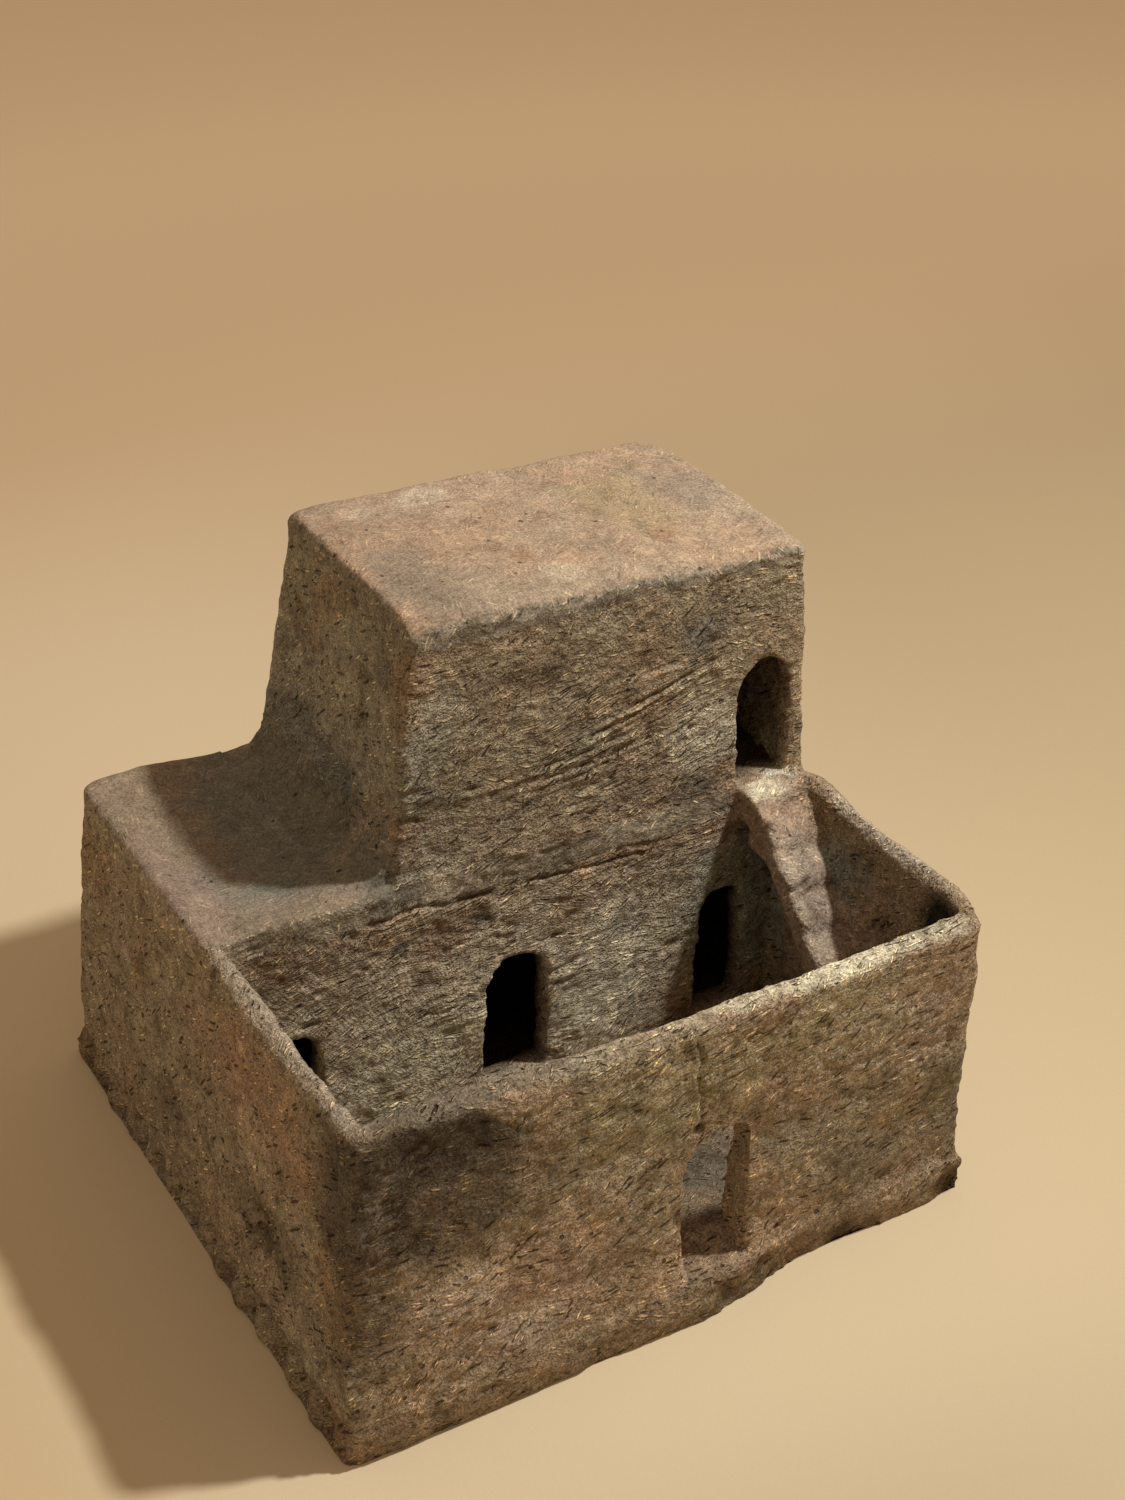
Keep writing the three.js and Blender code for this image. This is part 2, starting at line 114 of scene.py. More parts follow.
# A block of clay from a cube: its top corners lean in edit mode, its edges are bevelled
def addBlock(name, low, high, bevel=0.0, topShrink=(0.0, 0.0)):
    middle = [(a + b) / 2 for a, b in zip(low, high)]
    size = [b - a for a, b in zip(low, high)]
    bpy.ops.object.select_all(action="DESELECT")
    bpy.ops.mesh.primitive_cube_add(size=1, location=middle, scale=size)
    block = bpy.context.object
    block.name = name
    bpy.ops.object.transform_apply(location=True, rotation=True, scale=True)
    if topShrink != (0.0, 0.0):
        bpy.ops.object.mode_set(mode="EDIT")
        bpy.ops.mesh.select_all(action="DESELECT")
        bpy.ops.object.mode_set(mode="OBJECT")
        for face in block.data.polygons:
            face.select = face.normal.z > 0.9
        bpy.ops.object.mode_set(mode="EDIT")
        bpy.ops.mesh.select_mode(type="FACE")
        bpy.ops.transform.resize(
            value=(1 - topShrink[0], 1 - topShrink[1], 1),
            center_override=(middle[0], middle[1], high[2]),
        )
        leaveEdit()
    if bevel > 0:
        editAll(block)
        bpy.ops.mesh.bevel(offset=bevel, segments=3, affect="EDGES")
        leaveEdit()
    return block


# The clay body: copies of the solids, swollen until they touch, pressed into one skin
clayBody = {
    "voxel": 1.4 * mm,
    "quickVoxel": 2.6 * mm,
    "swell": 0.6 * mm,
    "smoothRounds": 3,
    "stairRounds": 24,
    "footRounds": 30,
    "wearMargin": 3,
}


def copySolid(node):
    source = frame["nodes"][node]
    mesh = source.data.copy()
    mesh.materials.clear()
    copy = bpy.data.objects.new("clay_" + node, mesh)
    bpy.context.scene.collection.objects.link(copy)
    editAll(copy)
    bpy.ops.mesh.remove_doubles(threshold=0.00001)
    leaveEdit()
    applyModifier(copy, "DISPLACE", strength=clayBody["swell"], mid_level=0.0, direction="NORMAL")
    return copy


# Lumps that only show in the clay: thresholds of the three doors, the worn landing and the lump beside it,
# and wedges at the foot of the front wall (left and right end, front edge and wall side at both ends)
extraClay = {
    "thresholds": {"middle": (-18, 26, 4.5), "left": (-135, -99, 3), "right": (111, 143, 3)},
    "thresholdHeight": 8.5,
    "landingSpread": 1.5,
    "landingRise": 1.2,
    "landingSide": (132, 138, -22, -6, 132, 157),
    "footWedges": {
        "left": ((-170, -60), (-164.0, -163.6), (-157.2, -154.4)),
        "middle": ((-60, 1), (-163.6, -163.0), (-154.4, -151.8)),
        "right": ((41, 72), (-159.0, -153.5), (-151.0, -150.0)),
        "rightEnd": ((72, 170), (-153.5, -152.0), (-150.0, -147.0)),
    },
    "wedgeTop": 52,
}


def addExtraClay():
    lumps = []
    faceLow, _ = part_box("house_front_wall")
    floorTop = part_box("base_slab")[1].z
    for name, (left, right, out) in extraClay["thresholds"].items():
        low = (left * mm, faceLow.y - out * mm, floorTop - 3 * mm)
        high = (right * mm, faceLow.y + 8 * mm, floorTop + extraClay["thresholdHeight"] * mm)
        lumps.append(addBlock("clay_threshold_" + name, low, high, bevel=2 * mm, topShrink=(0.08, 0.3)))
    spread, rise = extraClay["landingSpread"] * mm, extraClay["landingRise"] * mm
    landingLow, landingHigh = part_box("stair_landing")
    low = (landingLow.x + spread, landingLow.y + spread, landingHigh.z - 6 * mm)
    high = (landingHigh.x + spread, landingHigh.y + 4 * mm, landingHigh.z + rise)
    lumps.append(addBlock("clay_landing", low, high, bevel=2.5 * mm))
    for name, (across, outer, inner) in extraClay["footWedges"].items():
        wedge = addBlock("clay_wedge_" + name, (0, 0, 0), (mm, mm, mm))
        for vertex in wedge.data.vertices:
            side, high = int(vertex.co.x > 0.5 * mm), vertex.co.z > 0.5 * mm
            front = inner[side] if high else outer[side]
            back = inner[side] + 6
            y = back if vertex.co.y > 0.5 * mm else front
            vertex.co = Vector((across[side] * mm, y * mm, (extraClay["wedgeTop"] if high else 5) * mm))
        lumps.append(wedge)
    left, right, front, back, bottom, top = [value * mm for value in extraClay["landingSide"]]
    lumps.append(addBlock("clay_landing_side", (left, front, bottom), (right, back, top), bevel=2.5 * mm))
    return lumps


# The steps are worn to soft lumps, and the foot runs smoothly into the walls: both are smoothed further
def wearAway(body):
    places = vertexPlaces(body) / mm
    low, high = [np.array(corner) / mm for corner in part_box("stair_slab")]
    margin = clayBody["wearMargin"]
    onStair = (places > low - margin).all(axis=1) & (places < high + 2 * margin).all(axis=1)
    onStair &= places[:, 0] < high[0] - 1
    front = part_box("front_wall")
    outer = front[1].y / mm - 6
    atFoot = (places[:, 2] > 7) & (places[:, 2] < 34)
    atFoot &= (places[:, 1] < outer) | (np.abs(places[:, 0]) > front[1].x / mm - 12) | (places[:, 1] > 152)
    rounds = {"stair": (onStair, clayBody["stairRounds"]), "foot": (atFoot, clayBody["footRounds"])}
    for name, (chosen, count) in rounds.items():
        worn = body.vertex_groups.new(name=name)
        worn.add(np.flatnonzero(chosen).tolist(), 1.0, "REPLACE")
        count = count
        applyModifier(body, "SMOOTH", factor=0.5, iterations=count, vertex_group=name)


def pressTogether():
    solids = [copySolid(node) for node in sorted(frame["nodes"])]
    solids += addExtraClay()
    selectOnly(solids[0])
    for solid in solids[1:]:
        solid.select_set(True)
    bpy.ops.object.join()
    body = solids[0]
    body.name = "clay_body"
    voxel = clayBody["voxel"]
    applyModifier(body, "REMESH", mode="VOXEL", voxel_size=voxel, adaptivity=0.0)
    rounds = clayBody["smoothRounds"]
    applyModifier(body, "SMOOTH", factor=0.5, iterations=rounds)
    wearAway(body)
    return body


clay = pressTogether()
print("clay pressed together:", len(clay.data.polygons), "faces")


# Even noise in space, from -1 to 1, the same on every run
def hashAt(cells, seed):
    ix, iy, iz = cells[:, 0], cells[:, 1], cells[:, 2]
    mixed = (ix * 73856093) ^ (iy * 19349663) ^ (iz * 83492791) ^ (seed * 2654435761)
    mixed = (mixed ^ (mixed >> 13)) * 1274126177
    mixed = mixed ^ (mixed >> 16)
    return (mixed & 0xFFFF) / 32767.5 - 1.0


def spaceNoise(points, size, seed):
    scaled = points / np.asarray(size, float)
    cells = np.floor(scaled).astype(np.int64)
    part = scaled - cells
    part = part * part * part * (part * (part * 6 - 15) + 10)
    total = np.zeros(len(points))
    for dx in (0, 1):
        wx = part[:, 0] if dx else 1 - part[:, 0]
        for dy in (0, 1):
            wy = part[:, 1] if dy else 1 - part[:, 1]
            for dz in (0, 1):
                wz = part[:, 2] if dz else 1 - part[:, 2]
                total += wx * wy * wz * hashAt(cells + np.array([dx, dy, dz]), seed)
    return total


def softStep(low, high, value):
    share = np.clip((value - low) / (high - low), 0, 1)
    return share * share * (3 - 2 * share)


# What the hand left in the clay, in millimetres. Wipes lie in patches, each with one of three turns.
handMarks = {
    "lumps": ((46, 1.3, 11), (21, 0.9, 12), (9.5, 0.5, 13)),
    "frontWipe": {
        "length": 13, "width": 2.9, "depth": 0.62, "patch": 30, "turns": (-6, 22, 52), "seed": 40,
    },
    "facadeWipe": {
        "length": 20, "width": 3.0, "depth": 0.38, "patch": 34, "turns": (-8, 6, 24), "seed": 50,
    },
    "sideWipe": {
        "length": 15, "width": 3.0, "depth": 0.5, "patch": 40, "turns": (-44, -32, -62), "seed": 60,
    },
    "grit": (3.6, 0.42, 31),
    "footLobes": {"pitch": 24, "depth": 7.5, "height": 17, "grooveDepth": 1.4},
    "footEdge": {"size": 14, "depth": 1.6},
    "rimLift": {"height": 2.6, "width": 7, "pitch": 16},
    "slabCrack": {"depth": 1.3, "width": 0.9, "left": 152, "fall": 0.045, "upTo": 80},
    "stairLip": {"height": 1.3, "width": 3.2},
    "frontSeam": {"top": (6.3, 160), "bottom": (12.3, 110), "depth": 1.0, "width": 1.1},
    "rightRim": {"inner": 6.5, "outer": 5.0, "rise": 2.6},
}

# Chips, holes and dents: x, y, z of the middle, radius, depth (a minus sign raises a lump)
chips = {
    "jambChip": (1, -155, 57, 7, 2.8),
    "holeOverDoor": (10, -150, 104, 3.0, 4.2),
    "holeLeft": (-38, -150, 131, 2.6, 2.4),
    "holeMiddle": (7, -150, 122, 2.0, 2.0),
    "soilCorner": (153, -131, 158, 9, 2.2),
    "baseBreak": (24, -166, 9, 9, 3.0),
    "baseBreakRight": (48, -160, 14, 7, 2.2),
    "baseBreakEdge": (100, -153, 2, 14, 2.4),
    "baseCornerChip": (168, -152, 4, 12, 5.5),
    "roofPit": (120, 134, 290, 2.6, 1.8),
    "roofPitLeft": (-40, 40, 292, 2.6, 1.6),
    "roofDent": (155, 124, 288, 8, 1.0),
    "upperCornerPit": (-62, 6, 272, 6, 1.8),
    "doorLipLump": (-19, 1, 70, 12, -1.2),
    "pitNearUpperDoor": (102, 7, 205, 3.0, 2.0),
    "leftWallDent": (-166, -70, 60, 22, 1.4),
    "landingPit": (150, -6, 163, 2.2, 2.2),
    "landingPitTwo": (139, -9, 163, 1.8, 1.6),
}

# Long scratches across the upper front, rising to the right: x and z of both ends, sag in the middle, depth
scratches = {
    "low": ((-34, 205), (88, 214), -3, 0.9),
    "lowTwo": ((-8, 199), (92, 209), -3, 0.7),
    "lowThree": ((10, 194), (90, 205), -2, 0.6),
    "middle": ((40, 214), (112, 236), -2, 1.0),
    "middleTwo": ((46, 221), (124, 242), -2, 0.9),
    "middleThree": ((62, 222), (126, 238), 2, 0.7),
    "high": ((64, 236), (100, 240), 4, 0.9),
    "right": ((84, 199), (122, 222), -1, 0.8),
    "rightTwo": ((78, 204), (104, 216), -1, 0.6),
    "bottom": ((20, 180), (74, 192), 2, 0.7),
}

# Arcs pressed into the house front beside the middle door: middle, reach, and how far apart they lie
pressedArcs = {"middle": (-38, 106), "from": 10, "to": 30, "pitch": 3.6, "depth": 0.4}


def wipedMarks(points, along, across, marks):
    swing = spaceNoise(points, marks["patch"], marks["seed"] + 7)
    right = softStep(0.1, 0.3, swing)
    left = 1 - softStep(-0.3, -0.1, swing)
    total = np.zeros(len(points))
    for number, (turn, share) in enumerate(zip(marks["turns"], (1 - left - right, right, left))):
        angle = math.radians(turn)
        bend = spaceNoise(points, 24, marks["seed"] + 5 + number) * 4.5
        u = along * math.cos(angle) + across * math.sin(angle)
        v = across * math.cos(angle) - along * math.sin(angle) + bend
        strokes = np.stack([u / marks["length"], v / marks["width"], points[:, 1] / 60], 1)
        total += share * (1 - 2.6 * np.abs(spaceNoise(strokes, 1, marks["seed"] + 11 * number)))
    return total * marks["depth"]


def scratchMarks(x, z):
    marks = np.zeros(len(x))
    for (x0, z0), (x1, z1), sag, depth in scratches.values():
        share = (x - x0) / (x1 - x0)
        inside = softStep(0, 0.12, share) * (1 - softStep(0.8, 1, share))
        line = z0 + (z1 - z0) * share + sag * 4 * share * (1 - share)
        away = z - line
        grooveShade = np.exp(-((away / 1.1) ** 2))
        lip = np.exp(-(((away + 2.2) / 1.2) ** 2))
        marks += inside * 0.95 * depth * (0.8 * lip - grooveShade)
    return marks


def arcMarks(x, z):
    away = np.hypot(x - pressedArcs["middle"][0], z - pressedArcs["middle"][1])
    inside = softStep(pressedArcs["from"], pressedArcs["from"] + 3, away)
    inside *= 1 - softStep(pressedArcs["to"] - 5, pressedArcs["to"], away)
    inside *= softStep(-4, 6, pressedArcs["middle"][1] - z)
    return inside * pressedArcs["depth"] * np.sin(2 * math.pi * away / pressedArcs["pitch"])


# Relief along the normal, and the part of it that is fine enough to colour the clay, darker in its hollows
# and paler on its ridges
def clayRelief(points, normals):
    x, y, z = points.T
    nx, ny, nz = normals.T
    relief = np.zeros(len(points))
    for size, depth, seed in handMarks["lumps"]:
        relief += spaceNoise(points, size, seed) * depth
    facing = softStep(0.35, 0.8, np.abs(ny))
    houseSide = softStep(-20, -10, y)
    onSide = softStep(0.35, 0.8, np.abs(nx))
    onTop = softStep(0.4, 0.8, nz)
    patches = 0.4 + 0.6 * softStep(-0.3, 0.4, spaceNoise(points, 26, 21))
    fine = facing * (1 - houseSide) * patches * wipedMarks(points, x, z, handMarks["frontWipe"])
    fine += facing * houseSide * patches * wipedMarks(points, x, z, handMarks["facadeWipe"])
    fine += onSide * patches * wipedMarks(points, y, z, handMarks["sideWipe"])
    gritSize, gritDepth, gritSeed = handMarks["grit"]
    fine += spaceNoise(points, gritSize, gritSeed) * gritDepth * (1 - 0.45 * onTop)
    onFacade = facing * houseSide * (y < 40)
    fine += onFacade * (scratchMarks(x, z) + arcMarks(x, z))
    relief += fine

    # Joint under the lower roof slab, open in places
    crack = handMarks["slabCrack"]
    crackLine = crack["left"] - crack["fall"] * (x + 150) + spaceNoise(points, 26, 71) * 2.2
    opening = softStep(-0.1, 0.4, spaceNoise(points, 22, 72)) * (x < crack["upTo"]) * onFacade
    crackCut = np.exp(-((z - crackLine) / crack["width"]) ** 2) * opening * crack["depth"]
    relief -= crackCut
    fine -= crackCut

    # The foot was pressed up by hand: lobes along the sides and the back, an uneven edge in front
    lobes = handMarks["footLobes"]
    around = np.where(np.abs(nx) > np.abs(ny), y, x + 400)
    wave = around / lobes["pitch"] + spaceNoise(points, 60, 81) * 0.4
    swelling = np.abs(np.sin(math.pi * wave)) * (0.85 + 0.3 * spaceNoise(points, 40, 83))
    heightShare = 1 - softStep(lobes["height"] * (0.45 + 0.55 * swelling), lobes["height"] + 5, z)
    outside = (np.abs(x) > 163) | (np.abs(y) > 148)
    sideways = 1 - softStep(0.5, 0.9, np.abs(nz))
    inFront = softStep(0.3, 0.7, -ny) * (y < -100)
    relief -= outside * sideways * (1 - inFront) * (1 - swelling) * lobes["depth"] * heightShare
    seam = np.exp(-(((z - lobes["height"] - 3 * swelling) / 2.2) ** 2))
    relief -= outside * sideways * (1 - inFront) * seam * lobes["grooveDepth"]
    edge = handMarks["footEdge"]
    ragged = softStep(-0.2, 0.6, spaceNoise(points, edge["size"], 82))
    relief -= outside * inFront * ragged * edge["depth"] * (1 - softStep(3, 16, z))

    # The free edge of the stair is a rounded lip
    lip = handMarks["stairLip"]
    stairLow, stairHigh = [np.array(corner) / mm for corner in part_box("stair_slab")]
    onStair = (x > stairLow[0] - 3) & (x < stairHigh[0]) & (y < stairHigh[1]) & (y > stairLow[1]) & (z > 25)
    lipShape = np.exp(-(((x - stairLow[0] - 2) / lip["width"]) ** 2))
    relief += onStair * softStep(0.2, 0.6, nz) * lipShape * lip["height"]

    # Upright seam over the front door
    seamMark = handMarks["frontSeam"]
    (topX, topZ), (bottomX, bottomZ) = seamMark["top"], seamMark["bottom"]
    seamLine = topX + (bottomX - topX) * (topZ - z) / (topZ - bottomZ) + spaceNoise(points, 11, 73) * 1.6
    onSeam = inFront * softStep(bottomZ - 4, bottomZ, z) * (1 - softStep(topZ, topZ + 4, z))
    seamCut = np.exp(-(((x - seamLine) / seamMark["width"]) ** 2))
    seamCut -= 0.7 * np.exp(-(((x - seamLine + 2.4) / 1.6) ** 2))
    relief -= onSeam * seamCut * seamMark["depth"]
    fine -= onSeam * seamCut * seamMark["depth"]

    for cx, cy, cz, radius, depth in chips.values():
        away = np.sqrt((x - cx) ** 2 + (y - cy) ** 2 + (z - cz) ** 2)
        dent = np.exp(-((away / radius) ** 2) * 1.6) * depth
        relief -= dent
        fine -= dent * 0.6
    return relief, fine


def workClay(body):
    places = vertexPlaces(body) / mm
    normals = vertexNormals(body)
    relief, _ = clayRelief(places, normals)
    shift = normals * relief[:, None]
    shift[:, 2] *= softStep(0.6, 5, places[:, 2])
    worked = places + shift

    # The terrace keeps a low wavy rim at its outer edges
    lift = handMarks["rimLift"]
    low, high = [np.array(corner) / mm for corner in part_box("lower_roof_slab")]
    leftEdge = np.exp(-(((places[:, 0] - low[0] - 4) / lift["width"]) ** 2))
    backEdge = np.exp(-(((places[:, 1] - high[1] + 4) / lift["width"]) ** 2))
    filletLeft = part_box("terrace_fillet")[0].x / mm
    onTerrace = (places[:, 2] > high[2] - 8) & (places[:, 0] < filletLeft) & (places[:, 1] > low[1] - 4)
    wave = 0.75 + 0.5 * spaceNoise(places, lift["pitch"], 91)
    rise = np.maximum(leftEdge * 0.6, backEdge) * wave * lift["height"]
    worked[:, 2] += onTerrace * rise * softStep(high[2] - 8, high[2] - 2, places[:, 2])

    # The rim of the right wall swings out and up between the landing and the front corner
    rim = handMarks["rightRim"]
    px, py, pz = places.T
    swings = softStep(108, 158, pz) * (1 - softStep(-14, 8, py)) * softStep(-150, -116, py)
    swings *= softStep(149, 156, px)
    sideways = rim["inner"] + (rim["outer"] - rim["inner"]) * softStep(156, 168, px)
    worked[:, 0] += swings * sideways
    worked[:, 2] += swings * softStep(146, 162, pz) * rim["rise"]

    worked = np.clip(worked, np.array(cadLow) / mm, np.array(cadHigh) / mm)
    setPlaces(body, worked * mm)


workClay(clay)
print("hand marks worked in")


# The body is cut back into the pieces that it is built of, one after another

# A block from its left, right, front and back at the bottom and at the top, in millimetres
def cutterPrism(bottom, top, lowZ, highZ):
    block = addBlock("cutter", (0, 0, 0), (mm, mm, mm))
    for vertex in block.data.vertices:
        left, right, front, back = top if vertex.co.z > 0.5 * mm else bottom
        vertex.co = Vector((
            (right if vertex.co.x > 0.5 * mm else left) * mm,
            (back if vertex.co.y > 0.5 * mm else front) * mm,
            (highZ if vertex.co.z > 0.5 * mm else lowZ) * mm,
        ))
    return block


def splitOff(body, name, cutter):
    piece = bpy.data.objects.new(name, body.data.copy())
    bpy.context.scene.collection.objects.link(piece)
    for target, operation in ((piece, "INTERSECT"), (body, "DIFFERENCE")):
        applyModifier(target, "BOOLEAN", operation=operation, object=cutter, solver="MANIFOLD")
    deleteObject(cutter)
    return piece


def millimetres(node):
    low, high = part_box(node)
    return [value / mm for value in (*low, *high)]


# The skin of each piece stands a little proud of its solid, so the cuts leave it some spare clay
def splitPieces(body):
    half = 0.15
    spare = 2.2
    baseTop = millimetres("base_slab")[5]
    slab = millimetres("lower_roof_slab")
    roof = millimetres("upper_roof_slab")
    facade = millimetres("house_front_wall")
    front = millimetres("front_wall")
    leftCourt = millimetres("left_court_wall")
    rightCourt = millimetres("right_court_wall")
    back = millimetres("back_wall")
    landing = millimetres("stair_landing")
    flight = millimetres("stair_slab")
    upperFront = millimetres("upper_front_wall")
    upperBack = millimetres("upper_back_wall")
    upperLeft = millimetres("upper_left_wall")
    upperRight = millimetres("upper_right_wall")
    fillet = millimetres("terrace_fillet")
    innerLeft = millimetres("inner_wall_left")
    innerRight = millimetres("inner_wall_right")
    far = 400
    courtBack = slab[1] - half
    pieces = {}

    def take(name, bottom, lowZ, highZ, top=None):
        cutter = cutterPrism(bottom, top or bottom, lowZ, highZ)
        pieces[name] = splitOff(body, name, cutter)

    roofLine = roof[2]
    take("upper_roof_slab", (-far, far, -far, far), roofLine, far)

    # The stair, and the front wall that it ends against
    stairRight = flight[3] + 3 * half
    take("front_wall", (-far, far, -far, front[4] + spare), baseTop, far)
    landingReach = (landing[0] - 6, stairRight, landing[1] - 9, landing[4] + half)
    take("stair_landing", landingReach, landing[2] - 2, landing[5] + 5)
    splitStair(body, pieces, landing, flight, stairRight)

    # Upper storey: the fillet first, then the leaning walls
    upperFoot = slab[5]
    leftFoot = upperFront[0]
    leanLeft = roof[0] - leftFoot
    storey = roofLine - upperFoot
    filletTop = fillet[5] + 1
    filletShare = (filletTop - upperFoot) / storey
    take(
        "terrace_fillet",
        (fillet[0] - 1, leftFoot, courtBack, far),
        upperFoot,
        filletTop,
        (fillet[0] - 1, leftFoot + leanLeft * filletShare, courtBack, far),
    )
    frontLean = roof[1] - upperFront[1]
    thick = roof[3] - upperRight[0]
    frontInner = upperFront[1] + thick + spare
    backInner = upperBack[4] - thick - spare
    backLean = upperBack[4] - roof[4]
    take("upper_front_wall", (fillet[0] + 1, far, -30, frontInner), upperFoot, roofLine,
         (fillet[0] + 1, far, -30, frontInner + frontLean))
    take("upper_back_wall", (fillet[0] + 1, far, backInner, far), upperFoot, roofLine,
         (fillet[0] + 1, far, backInner - backLean, far))
    take("upper_left_wall", (fillet[0] + 1, upperLeft[3] + 8, -far, far), upperFoot, roofLine)
    take("upper_right_wall", (upperLeft[3] + 8, far, 0, far), upperFoot, roofLine)

    # Courtyard walls
    take("left_court_wall", (-far, leftCourt[3] + spare, -far, courtBack), baseTop, far)
    take("right_court_wall", (rightCourt[0] - spare, far, -far, courtBack), baseTop, far)

    # Lower storey; what is left at the end is the base with its floor
    take("back_wall", (-far, far, back[1] - spare, far), baseTop, slab[2])
    take("left_house_wall", (-far, leftCourt[3] + spare, courtBack, far), baseTop, slab[2])
    take("right_house_wall", (rightCourt[0] - spare, far, courtBack, far), baseTop, slab[2])
    take("house_front_wall", (-far, far, -30, facade[4] + spare), baseTop, slab[2])
    take("inner_wall_left", (innerLeft[0] - spare, innerLeft[3] + spare, 0, far), baseTop, slab[2])
    take("inner_wall_right", (innerRight[0] - spare, innerRight[3] + spare, 0, far), baseTop, slab[2])
    take("lower_roof_slab", (-far, far, -far, far), slab[2] - spare, far)
    pieces["base_slab"] = body
    return pieces


# Steps are cut off the flight along its slope, each with the clay above the slab
def splitStair(body, pieces, landing, flight, stairRight):
    steps = [millimetres(f"stair_step_{number}") for number in range(1, 9)]
    start = np.array([flight[4], landing[2] + (landing[5] + 1 - landing[2]) / 2])
    first = np.array([steps[0][4], steps[0][5]])
    last = np.array([steps[-1][4], steps[-1][5]])
    downhill = (last - first) / np.linalg.norm(last - first)
    upwards = np.array([downhill[1], -downhill[0]])
    pitch = np.linalg.norm(last - first) / (len(steps) - 1)
    for number in range(len(steps)):
        along = (-4 if number == 0 else number * pitch, (number + 1) * pitch)
        if number == len(steps) - 1:
            along = (along[0], along[1] + 4)
        corners = []
        for distance, height in ((along[0], 0.3), (along[1], 0.3), (along[1], 14), (along[0], 14)):
            corners.append(start + downhill * distance + upwards * height)
        cutter = addBlock("cutter", (0, 0, 0), (mm, mm, mm))
        order = {(0, 0): 0, (0, 1): 3, (1, 0): 1, (1, 1): 2}
        for vertex in cutter.data.vertices:
            key = (int(vertex.co.y < 0.5 * mm), int(vertex.co.z > 0.5 * mm))
            y, z = corners[order[key]]
            side = stairRight if vertex.co.x > 0.5 * mm else flight[0] - 6
            vertex.co = Vector((side * mm, y * mm, z * mm))
        name = f"stair_step_{number + 1}"
        pieces[name] = splitOff(body, name, cutter)
    reach = (flight[0] - 6, stairRight, -400, flight[4] + 0.15)
    cutter = cutterPrism(reach, reach, millimetres("base_slab")[5], 400)
    pieces["stair_slab"] = splitOff(body, "stair_slab", cutter)


claySplit = splitPieces(clay)
print("clay cut into", len(claySplit), "pieces")


# Shader helpers

def link(tree, source, target):
    tree.links.new(source, target)


# A socket takes a link from another node, or a fixed value
def feed(tree, socket, value):
    if isinstance(value, bpy.types.NodeSocket):
        link(tree, value, socket)
    else:
        socket.default_value = value


def addNode(tree, kind, inputs=None, **settings):
    node = tree.nodes.new("ShaderNode" + kind)
    for name, value in settings.items():
        setattr(node, name, value)
    for name, value in (inputs or {}).items():
        feed(tree, node.inputs[name], value)
    return node


def addMath(tree, operation, first, second=0.0):
    return addNode(tree, "Math", {0: first, 1: second}, operation=operation).outputs[0]


def addVector(tree, operation, *values):
    return addNode(tree, "VectorMath", dict(enumerate(values)), operation=operation)


def addStep(tree, value, low, high, toLow=0.0, toHigh=1.0):
    return addNode(tree, "MapRange", {
        "Value": value, "From Min": low, "From Max": high, "To Min": toLow, "To Max": toHigh,
    }, interpolation_type="SMOOTHSTEP").outputs["Result"]


def addMix(tree, share, first, second, blend="MIX"):
    mixed = addNode(tree, "Mix", {0: share, 6: first, 7: second}, data_type="RGBA", blend_type=blend)
    return mixed.outputs[2]


def newGroup(name, inputs, outputs):
    group = bpy.data.node_groups.new(name, "ShaderNodeTree")
    for socketName, kind, value in inputs:
        socket = group.interface.new_socket(socketName, in_out="INPUT", socket_type="NodeSocket" + kind)
        if value is not None:
            socket.default_value = value
    for socketName, kind in outputs:
        group.interface.new_socket(socketName, in_out="OUTPUT", socket_type="NodeSocket" + kind)
    return group, group.nodes.new("NodeGroupInput").outputs, group.nodes.new("NodeGroupOutput").inputs


# Chopped straw: long thin cells in one direction, some of them pale straws, some empty grooves that get
# painted shade
def makeStrawGroup():
    group, given, made = newGroup(
        "choppedStraw",
        [("Vector", "Vector", None), ("Turn", "Vector", (0, 0, 0)), ("Length", "Float", 0.006),
         ("Width", "Float", 0.0011), ("Share", "Float", 0.4)],
        [("Straw", "Float"), ("GrooveShade", "Float")],
    )
    stretch = addNode(group, "CombineXYZ", {
        "X": given["Length"], "Y": given["Width"], "Z": given["Width"],
    })
    turned = addNode(group, "Mapping", {
        "Vector": given["Vector"], "Rotation": given["Turn"], "Scale": stretch.outputs[0],
    }, vector_type="TEXTURE")
    cells = addNode(group, "TexVoronoi", {
        "Vector": turned.outputs[0], "Scale": 1.0, "Randomness": 1.0,
    }, feature="F1")
    tone = addNode(group, "SeparateColor", {"Color": cells.outputs["Color"]})
    body = addStep(group, cells.outputs["Distance"], 0.18, 0.42, 1.0, 0.0)
    straws = addMath(group, "LESS_THAN", tone.outputs[0], given["Share"])
    grooves = addMath(group, "LESS_THAN", tone.outputs[1], given["Share"])
    link(group, addMath(group, "MULTIPLY", body, straws), made["Straw"])
    onlyGrooves = addMath(group, "MULTIPLY", grooves, addMath(group, "SUBTRACT", 1.0, straws))
    link(group, addMath(group, "MULTIPLY", body, onlyGrooves), made["GrooveShade"])
    return group


